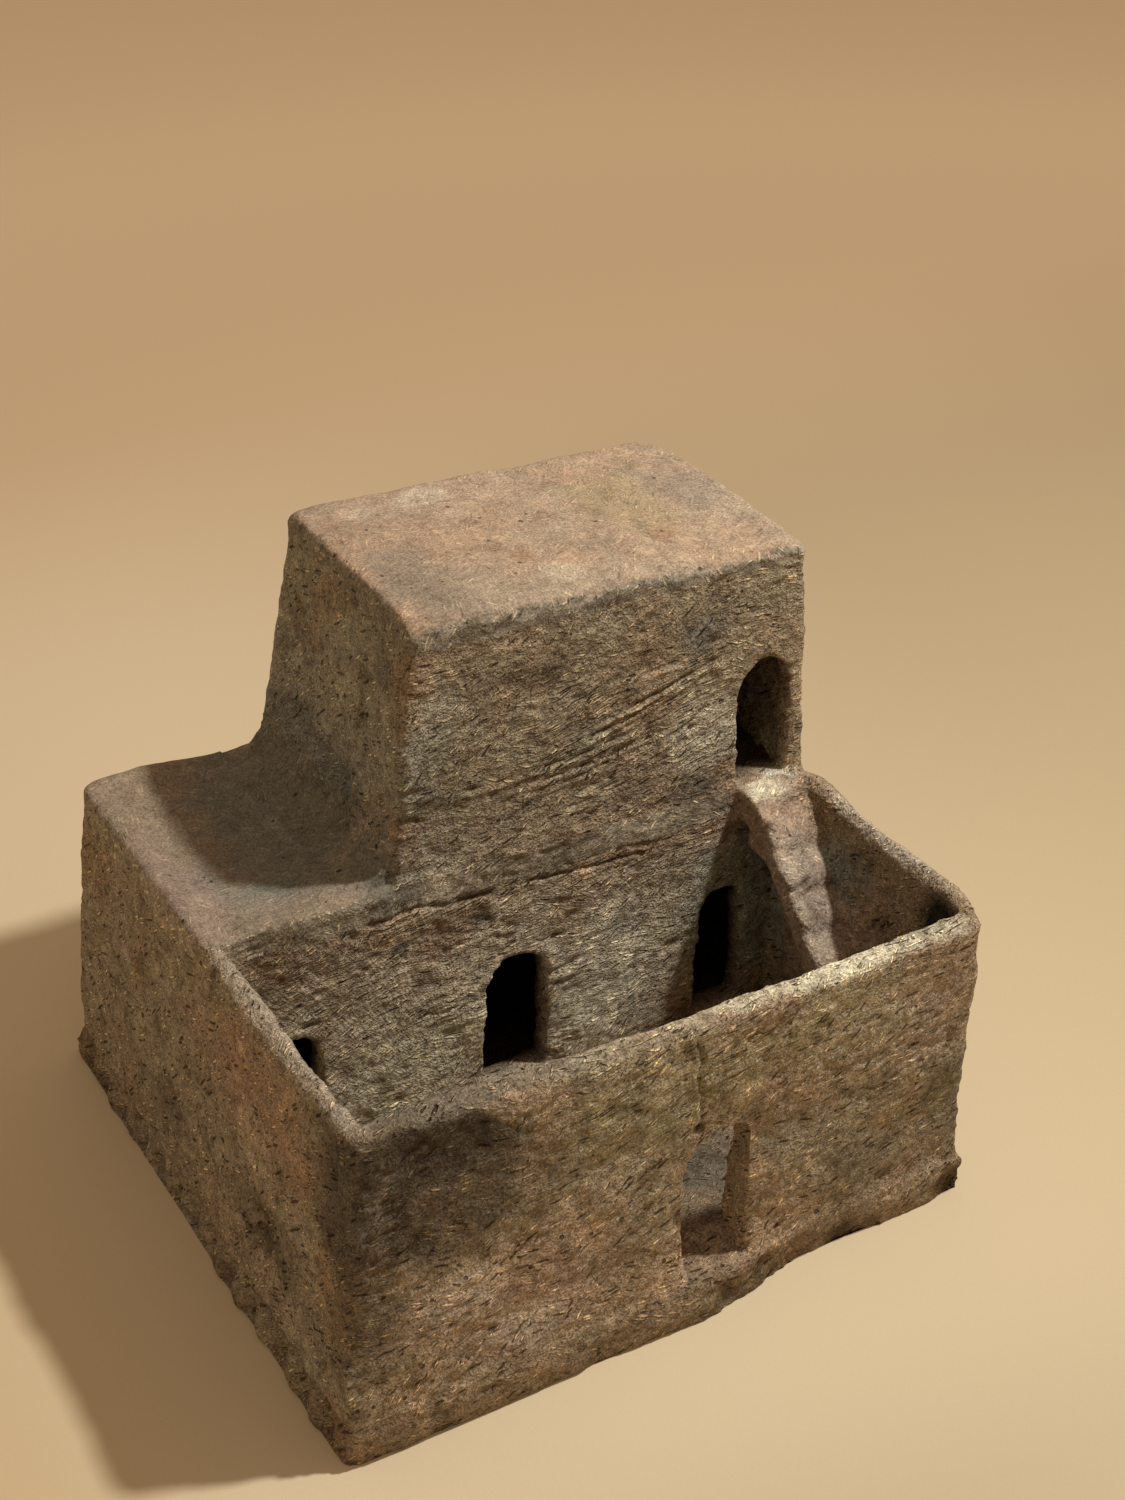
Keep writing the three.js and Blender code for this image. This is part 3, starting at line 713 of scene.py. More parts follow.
# A soft round patch about a place, its edge broken by the clouds it is given
def makePatchGroup():
    group, given, made = newGroup(
        "stainPatch",
        [("Vector", "Vector", None), ("Place", "Vector", (0, 0, 0)),
         ("Reach", "Vector", (0.05, 0.05, 0.05)), ("Cloud", "Float", 0.5), ("Ragged", "Float", 2.4)],
        [("Mask", "Float")],
    )
    shifted = addVector(group, "SUBTRACT", given["Vector"], given["Place"])
    scaled = addVector(group, "DIVIDE", shifted.outputs[0], given["Reach"])
    away = addVector(group, "LENGTH", scaled.outputs[0])
    centred = addMath(group, "SUBTRACT", given["Cloud"], 0.5)
    broken = addMath(group, "MULTIPLY", centred, given["Ragged"])
    edge = addMath(group, "ADD", away.outputs["Value"], broken)
    link(group, addStep(group, edge, 0.45, 1.1, 1.0, 0.0), made["Mask"])
    return group


# Places laid out flat for the face they lie on: along the wall, up the wall, into the wall
def makeFaceGroup():
    group, given, made = newGroup(
        "faceLayout",
        [("Vector", "Vector", None), ("Normal", "Vector", None)],
        [("Vector", "Vector"), ("Side", "Float"), ("Top", "Float")],
    )
    place = addNode(group, "SeparateXYZ", {"Vector": given["Vector"]}).outputs
    normal = addNode(group, "SeparateXYZ", {"Vector": given["Normal"]}).outputs
    side = addMath(group, "GREATER_THAN", addMath(group, "ABSOLUTE", normal[0]), 0.62)
    top = addMath(group, "GREATER_THAN", addMath(group, "ABSOLUTE", normal[2]), 0.70)
    onFront = addNode(group, "CombineXYZ", {"X": place[0], "Y": place[2], "Z": place[1]})
    onSide = addNode(group, "CombineXYZ", {"X": place[1], "Y": place[2], "Z": place[0]})
    chosen = addMix(group, side, onFront.outputs[0], onSide.outputs[0])
    chosen = addMix(group, top, chosen, given["Vector"])
    link(group, chosen, made["Vector"])
    link(group, side, made["Side"])
    link(group, top, made["Top"])
    return group


# Strokes pressed into the clay: each patch of wall has its own direction, each stroke is short and thin. The
# ridge and groove masks give painted highlight and painted shade on the colour, and the relief height
def makeStrokeGroup():
    group, given, made = newGroup(
        "pressedStrokes",
        [("Vector", "Vector", None), ("Turn", "Float", 0.0), ("Spread", "Float", 1.6),
         ("Patch", "Float", 0.024), ("Length", "Float", 0.006), ("Width", "Float", 0.0013),
         ("Seed", "Float", 0.0)],
        [("RidgeHighlight", "Float"), ("GrooveShade", "Float"), ("Height", "Float")],
    )
    sway = addNode(group, "TexNoise", {
        "Vector": given["Vector"], "Scale": 60.0, "Detail": 1.0,
    })
    offset = addVector(group, "SUBTRACT", sway.outputs["Color"], (0.5, 0.5, 0.5))
    swing = addNode(group, "VectorMath", {
        0: offset.outputs[0], "Scale": 0.0026,
    }, operation="SCALE")
    moved = addVector(group, "ADD", given["Vector"], swing.outputs[0])
    seed = given["Seed"]
    seeded = addNode(group, "CombineXYZ", {"X": seed, "Y": seed})
    shifted = addVector(group, "ADD", moved.outputs[0], seeded.outputs[0])
    cells = addNode(group, "TexVoronoi", {
        "Vector": shifted.outputs[0], "Scale": addMath(group, "DIVIDE", 1.0, given["Patch"]),
    }, feature="F1")
    chance = addNode(group, "SeparateColor", {"Color": cells.outputs["Color"]})
    swerve = addMath(group, "SUBTRACT", chance.outputs[0], 0.5)
    swerve = addMath(group, "MULTIPLY", swerve, given["Spread"])
    turned = addNode(group, "VectorRotate", {
        "Vector": shifted.outputs[0], "Angle": addMath(group, "SUBTRACT", addMath(
            group, "MULTIPLY", swerve, -1.0), given["Turn"]),
    }, rotation_type="Z_AXIS")
    size = addNode(group, "CombineXYZ", {
        "X": given["Length"], "Y": given["Width"], "Z": 0.012,
    })
    drawn = addVector(group, "DIVIDE", turned.outputs[0], size.outputs[0])
    dashes = addNode(group, "TexVoronoi", {
        "Vector": drawn.outputs[0], "Scale": 1.0, "Randomness": 1.0,
    }, feature="F1")
    dashChance = addNode(group, "SeparateColor", {"Color": dashes.outputs["Color"]})
    body = addStep(group, dashes.outputs["Distance"], 0.22, 0.40, 1.0, 0.0)
    gaps = addNode(group, "TexNoise", {
        "Vector": shifted.outputs[0], "Scale": 48.0, "Detail": 3.0,
    })
    most = addStep(group, gaps.outputs["Fac"], 0.38, 0.62, 0.04, 0.5)
    least = addStep(group, gaps.outputs["Fac"], 0.62, 0.38, 0.06, 0.3)
    ridgeHighlight = addMath(group, "LESS_THAN", dashChance.outputs[0], most)
    grooveShade = addMath(group, "LESS_THAN", dashChance.outputs[1], least)
    grooveShade = addMath(group, "MULTIPLY", grooveShade, addMath(group, "SUBTRACT", 1.0, ridgeHighlight))
    bright = addMath(group, "MULTIPLY", body, ridgeHighlight)
    dark = addMath(group, "MULTIPLY", body, grooveShade)
    loose = addNode(group, "TexNoise", {"Vector": drawn.outputs[0], "Scale": 0.6, "Detail": 2.0})
    height = addMath(group, "SUBTRACT", bright, dark)
    height = addMath(group, "ADD", height, addMath(group, "MULTIPLY", loose.outputs["Fac"], 0.6))
    link(group, bright, made["RidgeHighlight"])
    link(group, dark, made["GrooveShade"])
    link(group, height, made["Height"])
    return group


# Pits and grit: small holes, only in some cells, that get painted shade
def makePitGroup():
    group, given, made = newGroup(
        "smallPits",
        [("Vector", "Vector", None), ("Spacing", "Float", 0.009), ("Share", "Float", 0.35)],
        [("Pit", "Float")],
    )
    scale = addMath(group, "DIVIDE", 1.0, given["Spacing"])
    cells = addNode(group, "TexVoronoi", {"Vector": given["Vector"], "Scale": scale,
                                                    "Randomness": 1.0}, feature="F1")
    tone = addNode(group, "SeparateColor", {"Color": cells.outputs["Color"]})
    chosen = addMath(group, "LESS_THAN", tone.outputs[0], given["Share"])
    size = addMath(group, "MULTIPLY", tone.outputs[1], 0.12)
    spot = addStep(group, addMath(group, "SUBTRACT", cells.outputs["Distance"], size), 0.02, 0.08, 1.0, 0.0)
    link(group, addMath(group, "MULTIPLY", spot, chosen), made["Pit"])
    return group


strawGroup = makeStrawGroup()
patchGroup = makePatchGroup()
faceGroup = makeFaceGroup()
strokeGroup = makeStrokeGroup()
pitGroup = makePitGroup()


def useGroup(tree, group, inputs):
    node = tree.nodes.new("ShaderNodeGroup")
    node.node_tree = group
    for name, value in inputs.items():
        feed(tree, node.inputs[name], value)
    return node


# Chopped straw lying in the clay: turn in degrees, length and width in millimetres
chopped = {"turn": (20, -28, 34), "length": 5.6, "width": 0.9, "share": 0.12}

# Pressed strokes in three sizes, in metres. A patch of strokes has one direction.
strokeSets = {
    "coarse": {"Patch": 0.026, "Length": 0.0100, "Width": 0.0019, "Seed": 0.0},
    "fine": {"Patch": 0.014, "Length": 0.0050, "Width": 0.0012, "Seed": 0.37},
    "drawn": {
        "Turn": 0.13, "Spread": 0.34, "Patch": 0.045, "Length": 0.024, "Width": 0.0013, "Seed": 0.71,
    },
}

# How each mark changes the clay's colour where it lies. The ridge tone is painted highlight; the groove,
# straw groove and pit tones are painted shade in hollows, and the indoor tone is painted shade inside the
# rooms
markTones = {
    "paleBlotch": (1.36, 1.34, 1.29),
    "darkBlotch": (0.62, 0.59, 0.54),
    "hollow": (0.50, 0.47, 0.43),
    "ridgePale": (1.34, 1.33, 1.30),
    "grooveShade": (0.34, 0.31, 0.28),
    "ridgeHighlight": (2.45, 2.34, 2.08),
    "strawGrooveShade": (0.36, 0.33, 0.30),
    "straw": (2.0, 1.95, 1.85),
    "pitShade": (0.22, 0.20, 0.18),
    "paintedIndoorShade": (0.16, 0.14, 0.12),
}

# Stains on each kind of clay, with some patches of painted shade among them: place and reach in millimetres,
# colour as seen (0-255), strength
stainsAndShade = {
    "wall_clay": {
        "facadeBase": ((0, -6, 84), (185, 20, 98), (154, 127, 93), 0.92),
        "doorSill": ((156, 0, 164), (15, 14, 7), (186, 164, 128), 0.85),
        "leftBase": ((-172, 0, 84), (26, 210, 120), (130, 106, 79), 0.9),
        "upperLeftBase": ((-60, 84, 222), (32, 112, 90), (128, 111, 84), 0.9),
        "frontDark": ((-136, -150, 130), (70, 30, 46), (62, 46, 29), 0.8),
        "frontCornerDark": ((-158, -150, 92), (22, 30, 66), (78, 58, 38), 0.7),
        "frontDarkest": ((-128, -150, 148), (40, 30, 15), (46, 33, 20), 0.6),
        "frontDarkRight": ((-70, -150, 118), (26, 30, 22), (88, 68, 45), 0.5),
        "frontOchre": ((5, -150, 128), (80, 30, 34), (130, 106, 72), 0.7),
        "frontRustPink": ((-80, -155, 55), (70, 30, 38), (132, 99, 70), 0.7),
        "frontPale": ((-110, -155, 68), (20, 30, 14), (150, 123, 95), 0.5),
        "frontPaleTwo": ((-80, -155, 38), (24, 30, 12), (144, 117, 88), 0.5),
        "frontOrange": ((10, -155, 32), (70, 30, 22), (132, 98, 66), 0.65),
        "frontRustRight": ((135, -146, 122), (38, 30, 34), (136, 107, 80), 0.7),
        "frontPaleRight": ((84, -148, 136), (60, 30, 30), (140, 115, 80), 0.6),
        "frontOlive": ((100, -150, 56), (20, 30, 16), (92, 74, 50), 0.45),
        "frontOliveTwo": ((60, -150, 84), (22, 30, 24), (98, 78, 54), 0.35),
        "frontRightEnd": ((160, -148, 60), (22, 30, 40), (92, 74, 52), 0.55),
        "frontRightLow": ((118, -150, 38), (52, 30, 26), (92, 72, 50), 0.45),
        "leftGrey": ((-166, -140, 134), (30, 28, 36), (86, 70, 51), 0.7),
        "leftOlive": ((-166, -70, 62), (30, 44, 20), (88, 70, 47), 0.5),
        "leftOliveTwo": ((-166, 40, 54), (30, 30, 15), (88, 71, 50), 0.5),
        "leftRust": ((-166, -50, 124), (30, 64, 36), (140, 102, 70), 0.6),
        "leftPale": ((-166, -60, 100), (30, 24, 20), (156, 126, 92), 0.5),
        "leftRustLow": ((-166, -30, 34), (30, 50, 18), (132, 103, 74), 0.5),
        "upperGreyCorner": ((-54, 0, 274), (16, 20, 14), (70, 58, 44), 0.8),
        "upperBrown": ((10, 0, 256), (26, 20, 10), (84, 66, 44), 0.7),
        "upperGrey": ((105, 0, 254), (22, 20, 14), (92, 78, 60), 0.7),
        "upperOlive": ((0, 0, 208), (66, 20, 36), (112, 94, 66), 0.6),
        "upperPaleRight": ((112, 0, 198), (26, 20, 22), (150, 127, 95), 0.75),
        "upperDarkFoot": ((105, 0, 169), (30, 20, 9), (80, 64, 46), 0.7),
        "facadeBand": ((10, -4, 151), (170, 20, 10), (112, 90, 63), 0.55),
        "facadeRust": ((-66, -4, 140), (20, 20, 18), (146, 112, 78), 0.7),
        "facadeDark": ((-60, -4, 128), (7, 20, 6), (58, 46, 34), 0.7),
        "facadeSmudge": ((-16, -4, 132), (12, 20, 5), (66, 54, 40), 0.7),
        "facadePale": ((-60, -4, 66), (46, 20, 40), (170, 144, 106), 0.6),
        "facadeLight": ((48, -4, 76), (34, 20, 48), (176, 151, 114), 0.65),
        "facadeGrey": ((70, -4, 105), (14, 20, 8), (132, 112, 84), 0.6),
        "facadeGreyLow": ((72, -4, 44), (10, 20, 8), (116, 96, 70), 0.6),
        "upperLeftGrey": ((-60, 70, 194), (26, 20, 18), (98, 86, 67), 0.6),
        "upperLeftGreyHigh": ((-56, 30, 262), (20, 18, 12), (94, 82, 62), 0.55),
        # Painted shade: near black in the inner corner of the right and front walls, near their top
        "paintedCornerShade": ((160, -121, 151), (13, 17, 17), (22, 20, 16), 0.95),
        "rimSoot": ((134, -138, 163), (26, 6, 5), (62, 54, 42), 0.6),
        # Painted shade: the inner face of the right wall, which lies in shade, is made greyer and cooler
        "rightInnerShade": ((149, -46, 100), (14, 74, 80), (108, 103, 89), 0.9),
        "facadeShade": ((130, -4, 84), (30, 20, 84), (122, 108, 83), 0.75),
        # Painted shade: the upper left wall is darker and greyer at its foot, where it meets the terrace
        "filletFootShade": ((-62, 84, 184), (20, 94, 26), (102, 91, 73), 0.75),
        # Painted shade: dark in the hole over the middle door
        "doorHoleShade": ((11, -150, 104), (4, 8, 4), (30, 24, 18), 0.9),
        "rimGrey": ((-95, -140, 163), (50, 14, 5), (98, 80, 58), 0.7),
        "rimPale": ((84, -141, 164), (112, 12, 9), (178, 151, 112), 0.8),
        "rightRimPale": ((168, -60, 166), (9, 76, 7), (150, 123, 96), 0.6),
        "leftRimPale": ((-155, -60, 163), (14, 90, 6), (150, 122, 93), 0.5),
    },
    "roof_clay": {
        "roofPink": ((30, 128, 292), (46, 34, 14), (186, 154, 124), 0.6),
        "roofOchre": ((106, 86, 292), (26, 50, 14), (172, 145, 106), 0.6),
        "roofGrey": ((142, 86, 292), (18, 30, 14), (150, 130, 106), 0.6),
        "roofGreyTwo": ((70, 46, 292), (16, 14, 14), (146, 124, 100), 0.6),
        "roofPale": ((20, 134, 292), (14, 9, 12), (204, 180, 148), 0.6),
        "roofPaleTwo": ((42, 32, 292), (16, 10, 12), (200, 176, 144), 0.6),
        "roofPaleThree": ((-20, 130, 292), (12, 9, 12), (200, 176, 144), 0.5),
        "roofRust": ((105, 45, 292), (11, 8, 12), (160, 122, 90), 0.7),
        "roofRustTwo": ((30, 52, 292), (10, 8, 12), (162, 126, 94), 0.7),
        # Painted shade: the rounded left edge of the roof, which turns away from the lamp, is darker
        "roofLeftRimShade": ((-50, 80, 286), (9, 90, 12), (118, 100, 80), 0.75),
        "roofLeft": ((-30, 60, 292), (24, 80, 12), (146, 126, 102), 0.8),
        "doorSill": ((152, 9, 164), (19, 13, 6), (180, 160, 127), 0.95),
        "terraceBase": ((-120, 84, 160), (90, 130, 30), (152, 132, 107), 0.9),
        # Painted shadow: the terrace is darker and greyer where the upper storey's shadow falls
        "terraceShadowGrey": ((-94, 88, 158), (46, 78, 16), (131, 126, 109), 0.88),
        "terracePink": ((-152, 60, 160), (16, 90, 14), (164, 137, 116), 0.6),
    },
    "stair_clay": {
        "landingPale": ((144, -6, 164), (25, 22, 11), (196, 176, 139), 1.0),
        "landingBright": ((148, -12, 163), (16, 9, 8), (206, 186, 146), 0.8),
        "topStepPale": ((143, -22, 156), (14, 6, 8), (184, 164, 134), 0.6),
        "stepDark": ((150, -40, 122), (12, 20, 14), (126, 106, 84), 0.6),
        "stepsLowDark": ((146, -110, 56), (24, 34, 30), (122, 104, 82), 0.6),
    },
    "base_clay": {
        "leftFootGrey": ((-172, 10, 6), (20, 190, 14), (116, 98, 74), 0.7),
        "frontFootPale": ((110, -158, 14), (60, 20, 9), (146, 120, 90), 0.6),
        "leftFootBase": ((-172, 10, 14), (26, 190, 20), (128, 104, 76), 0.8),
        "frontFootRust": ((-60, -165, 10), (120, 20, 16), (120, 92, 64), 0.7),
        "brokenEdge": ((50, -162, 5), (50, 16, 8), (88, 68, 47), 0.7),
        "frontFootRight": ((110, -158, 12), (70, 20, 14), (118, 92, 66), 0.7),
        "courtFloor": ((0, -60, 21), (170, 90, 6), (80, 66, 50), 0.7),
    },
}

# Painted shade that also lies over the steep faces of the roof clay: the fillet, in the upper storey's
# shadow, is darkened to the terrace's shaded tone
steepFaceShade = {
    "roof_clay": {
        "filletShade": ((-62, 84, 170), (24, 98, 25), (128, 120, 100), 0.95),
    },
}

# Where the clay was drawn out in long lines: place, reach, strength
drawnLines = {
    "wall_clay": {
        "upperScratches": ((50, 0, 214), (84, 22, 34), 1.0),
        "frontBand": ((10, -150, 140), (100, 30, 30), 0.9),
        "frontRimRight": ((120, -142, 158), (60, 16, 14), 1.0),
        "facadeBand": ((0, -2, 140), (170, 20, 20), 0.8),
        "doorPiers": ((-40, -4, 60), (50, 20, 40), 0.6),
    },
}

# Colours as seen (0-255) under the light that reaches that clay in the studio
clayLooks = {
    "wall_clay": {
        "light": (0.65, 0.5, 0.365),
        "ground": (124, 100, 71),
        "warm": (127, 97, 67),
        "straw": 0.6,
        "strokes": 1.0,
        "mottle": 0.95,
        "fleck": 1.0,
        "bump": 1.0,
        "relief": 2.2,
        "roughness": 0.93,
        "spread": 1.3,
    },
    "roof_clay": {
        "light": (1.22, 1.13, 1.02),
        "ground": (172, 148, 119),
        "warm": (178, 146, 115),
        "edge": ((126, 103, 75), (112, 92, 68)),
        "straw": 0.12,
        "strokes": 0.34,
        "mottle": 0.5,
        "fleck": 0.8,
        "bump": 0.6,
        "relief": 1.6,
        "roughness": 0.9,
        "spread": 2.6,
    },
    "stair_clay": {
        "light": (0.92, 0.82, 0.68),
        "ground": (154, 132, 106),
        "warm": (152, 124, 96),
        "straw": 0.25,
        "strokes": 0.5,
        "mottle": 0.8,
        "fleck": 0.9,
        "bump": 0.7,
        "relief": 1.8,
        "roughness": 0.92,
        "spread": 2.6,
    },
    "base_clay": {
        "light": (0.67, 0.53, 0.41),
        "ground": (108, 87, 61),
        "warm": (114, 86, 60),
        "straw": 0.5,
        "strokes": 0.9,
        "mottle": 0.95,
        "fleck": 1.0,
        "bump": 1.0,
        "relief": 2.2,
        "roughness": 0.95,
        "spread": 1.5,
    },
}


def opaque(color):
    return (*color, 1.0)


def paint(seen, light):
    linear = [((value / 255 + 0.055) / 1.055) ** 2.4 for value in seen]
    return opaque(min(0.95, value / share) for value, share in zip(linear, light))


def addMark(tree, color, share, mark):
    marked = addMix(tree, 1.0, color, opaque(markTones[mark]), "MULTIPLY")
    return addMix(tree, share, color, marked)


def patchShare(tree, place, cloud, where, reach, strength):
    patch = useGroup(tree, patchGroup, {
        "Vector": place, "Place": [v * mm for v in where], "Reach": [v * mm for v in reach], "Cloud": cloud,
    })
    return addMath(tree, "MULTIPLY", patch.outputs["Mask"], strength)


def addStainsAndShade(tree, color, marks, place, cloud, light):
    for where, reach, seen, strength in marks.values():
        share = patchShare(tree, place, cloud, where, reach, strength)
        color = addMix(tree, share, color, paint(seen, light))
    return color


# Clouds, blotches, crumbs and grain in the clay: scale, detail, roughness
cloudSizes = ((17.0, 4.0, 0.6), (62.0, 5.0, 0.68), (210.0, 3.0, 0.65), (850.0, 2.0, 0.6))


def makeClay(slot):
    look = clayLooks[slot]
    material = bpy.data.materials.new(slot)
    material.use_nodes = True
    tree = material.node_tree
    tree.nodes.clear()
    output = tree.nodes.new("ShaderNodeOutputMaterial")
    shader = addNode(tree, "BsdfPrincipled", {"Specular IOR Level": 0.18})
    link(tree, shader.outputs[0], output.inputs["Surface"])
    coordinates = addNode(tree, "TexCoord")
    place = coordinates.outputs["Object"]
    face = useGroup(tree, faceGroup, {"Vector": place, "Normal": coordinates.outputs["Normal"]})
    laid = face.outputs["Vector"]

    # Clouds of clay in several sizes
    cloud, blotch, crumb, grain = [
        addNode(tree, "TexNoise", {
            "Vector": place, "Scale": scale, "Detail": detail, "Roughness": roughness,
        })
        for scale, detail, roughness in cloudSizes
    ]
    split = addNode(tree, "SeparateColor", {"Color": cloud.outputs["Color"]})
    light = look["light"]
    color = addMix(tree, addStep(tree, split.outputs[0], 0.38, 0.62), paint(look["ground"], light),
                   paint(look["warm"], light))
    strokes, mottle, fleck = look["strokes"], look["mottle"], look["fleck"]
    steep = None
    if "edge" in look:
        rise = addNode(tree, "SeparateXYZ", {"Vector": coordinates.outputs["Normal"]}).outputs[2]
        steep = addStep(tree, rise, 0.72, 0.40)
        strokes = addStep(tree, rise, 0.60, 0.25, look["strokes"], 0.85)
        mottle = addStep(tree, rise, 0.72, 0.40, look["mottle"], 0.95)
        fleck = addStep(tree, rise, 0.72, 0.40, look["fleck"], 1.0)
    color = addStainsAndShade(tree, color, stainsAndShade[slot], place, cloud.outputs["Fac"], light)
    if steep is not None:
        height = addNode(tree, "SeparateXYZ", {"Vector": place}).outputs[2]
        lowEdge, highEdge = [paint(seen, clayLooks["wall_clay"]["light"]) for seen in look["edge"]]
        edge = addMix(tree, addStep(tree, height, 0.17, 0.24), lowEdge, highEdge)
        color = addMix(tree, steep, color, edge)
        color = addStainsAndShade(tree, color, steepFaceShade[slot], place, cloud.outputs["Fac"], light)
    brighter = addMath(tree, "MULTIPLY", addStep(tree, blotch.outputs["Fac"], 0.52, 0.68), mottle)
    color = addMark(tree, color, brighter, "paleBlotch")
    darker = addMath(tree, "MULTIPLY", addStep(tree, blotch.outputs["Fac"], 0.48, 0.33), mottle)
    color = addMark(tree, color, darker, "darkBlotch")

    # Strokes, straw and pits
    side = face.outputs["Side"]
    turn = addMath(tree, "SUBTRACT", 0.30, addMath(tree, "MULTIPLY", side, 0.92))
    spread = addMath(tree, "MULTIPLY", side, look["spread"] * 0.5)
    spread = addMath(tree, "SUBTRACT", look["spread"], spread)
    coarse, fine, drawn = [
        useGroup(tree, strokeGroup, {"Vector": laid, "Turn": turn, "Spread": spread, **values})
        for values in strokeSets.values()
    ]
    drawnShare = None
    for lines in drawnLines.get(slot, {}).values():
        share = patchShare(tree, place, cloud.outputs["Fac"], *lines)
        drawnShare = share if drawnShare is None else addMath(tree, "MAXIMUM", drawnShare, share)
    fineRidge = addMath(tree, "MULTIPLY", fine.outputs["RidgeHighlight"], 0.7)
    fineGroove = addMath(tree, "MULTIPLY", fine.outputs["GrooveShade"], 0.7)
    ridgeHighlight = addMath(tree, "MAXIMUM", coarse.outputs["RidgeHighlight"], fineRidge)
    grooveShade = addMath(tree, "MAXIMUM", coarse.outputs["GrooveShade"], fineGroove)
    if drawnShare is not None:
        drawnRidge = addMath(tree, "MULTIPLY", drawn.outputs["RidgeHighlight"], drawnShare)
        drawnGroove = addMath(tree, "MULTIPLY", drawn.outputs["GrooveShade"], drawnShare)
        ridgeHighlight = addMath(tree, "MAXIMUM", ridgeHighlight, drawnRidge)
        grooveShade = addMath(tree, "MAXIMUM", grooveShade, drawnGroove)
    layer = useGroup(tree, strawGroup, {
        "Vector": place, "Turn": [math.radians(a) for a in chopped["turn"]],
        "Length": chopped["length"] * mm, "Width": chopped["width"] * mm, "Share": chopped["share"],
    })
    straw, hollowStraw = layer.outputs["Straw"], layer.outputs["GrooveShade"]
    pits = useGroup(tree, pitGroup, {"Vector": place, "Spacing": 0.008, "Share": 0.3})

    # Darker in the hollows and paler on the ridges of the fine relief
    hollow = addNode(tree, "Attribute", attribute_name="hollow").outputs["Fac"]
    color = addMark(tree, color, addStep(tree, hollow, -0.1, -1.2), "hollow")
    color = addMark(tree, color, addStep(tree, hollow, 0.2, 1.1), "ridgePale")
    # Stroke ridges get painted highlight and stroke grooves painted shade, standing in for raking light on
    # the relief; straw grooves get painted shade, pale straws keep their own colour
    for mark, amount, kind in ((grooveShade, strokes, "grooveShade"), (ridgeHighlight, strokes, "ridgeHighlight"),
                               (hollowStraw, look["straw"], "strawGrooveShade"), (straw, look["straw"], "straw")):
        color = addMark(tree, color, addMath(tree, "MULTIPLY", mark, amount), kind)
    for noise, amount, depth in ((crumb, mottle, 0.18), (grain, fleck, 0.30)):
        swing = addStep(tree, noise.outputs["Fac"], 0.36, 0.64, -depth, depth)
        swing = addMath(tree, "MULTIPLY", swing, amount)
        color = addMix(tree, 1.0, color, addMath(tree, "ADD", swing, 1.0), "MULTIPLY")
    # Pits are darkened with painted shade
    color = addMark(tree, color, addMath(tree, "MULTIPLY", pits.outputs["Pit"], 0.85), "pitShade")
    # Painted shade inside the rooms
    paintedIndoorShade = addNode(tree, "Attribute", attribute_name="paintedIndoorShade").outputs["Fac"]
    color = addMark(tree, color, paintedIndoorShade, "paintedIndoorShade")
    link(tree, color, shader.inputs["Base Color"])

    smoothest, roughest = look["roughness"] - 0.08, look["roughness"] + 0.05
    rough = addStep(tree, blotch.outputs["Fac"], 0.3, 0.7, smoothest, roughest)
    link(tree, rough, shader.inputs["Roughness"])

    fineHeight = addMath(tree, "MULTIPLY", fine.outputs["Height"], 0.6)
    height = addMath(tree, "ADD", coarse.outputs["Height"], fineHeight)
    if drawnShare is not None:
        lines = addMath(tree, "MULTIPLY", drawn.outputs["Height"], drawnShare)
        height = addMath(tree, "ADD", height, addMath(tree, "MULTIPLY", lines, 1.5))
    height = addMath(tree, "MULTIPLY", height, strokes)
    for operation, part, amount in (
        ("ADD", straw, 0.5 * look["straw"]),
        ("SUBTRACT", hollowStraw, 0.8 * look["straw"]),
        ("ADD", crumb.outputs["Fac"], 1.1),
        ("ADD", grain.outputs["Fac"], 0.45),
        ("SUBTRACT", pits.outputs["Pit"], 1.2),
    ):
        height = addMath(tree, operation, height, addMath(tree, "MULTIPLY", part, amount))
    bump = addNode(tree, "Bump", {
        "Height": height, "Strength": look["bump"], "Distance": look["relief"] * mm,
    })
    link(tree, bump.outputs[0], shader.inputs["Normal"])
    return material


materials = {slot: makeClay(slot) for slot in clayLooks}
print("clays mixed:", ", ".join(materials))

slotOf = {row["node"]: row["material_slot"] for row in frame["record"]["subparts"]}


# How far inside a room a place lies, from 0 in the doorway to 1; the clay there is darkened with painted
# shade
def indoorShadeShare(places):
    share = np.zeros(len(places))
    rooms = (
        ("left_court_wall", "right_court_wall", "house_front_wall", "back_wall", "lower_roof_slab"),
        ("upper_left_wall", "upper_right_wall", "upper_front_wall", "upper_back_wall", "upper_roof_slab"),
    )
    for left, right, front, back, top in rooms:
        low = np.array([millimetres(left)[3], millimetres(front)[4] - 9, 21]) - 4
        high = np.array([millimetres(right)[0], millimetres(back)[1], millimetres(top)[2]]) + 4
        within = (places > low).all(axis=1) & (places < high).all(axis=1)
        # Less painted shade where the lamp lights the upper room's right side through its door
        lit = 0.6 * softStep(138, 152, places[:, 0]) * (places[:, 2] > 168)
        share = np.maximum(share, within * softStep(low[1] + 1, low[1] + 16, places[:, 1]) * (1 - lit))
    return share


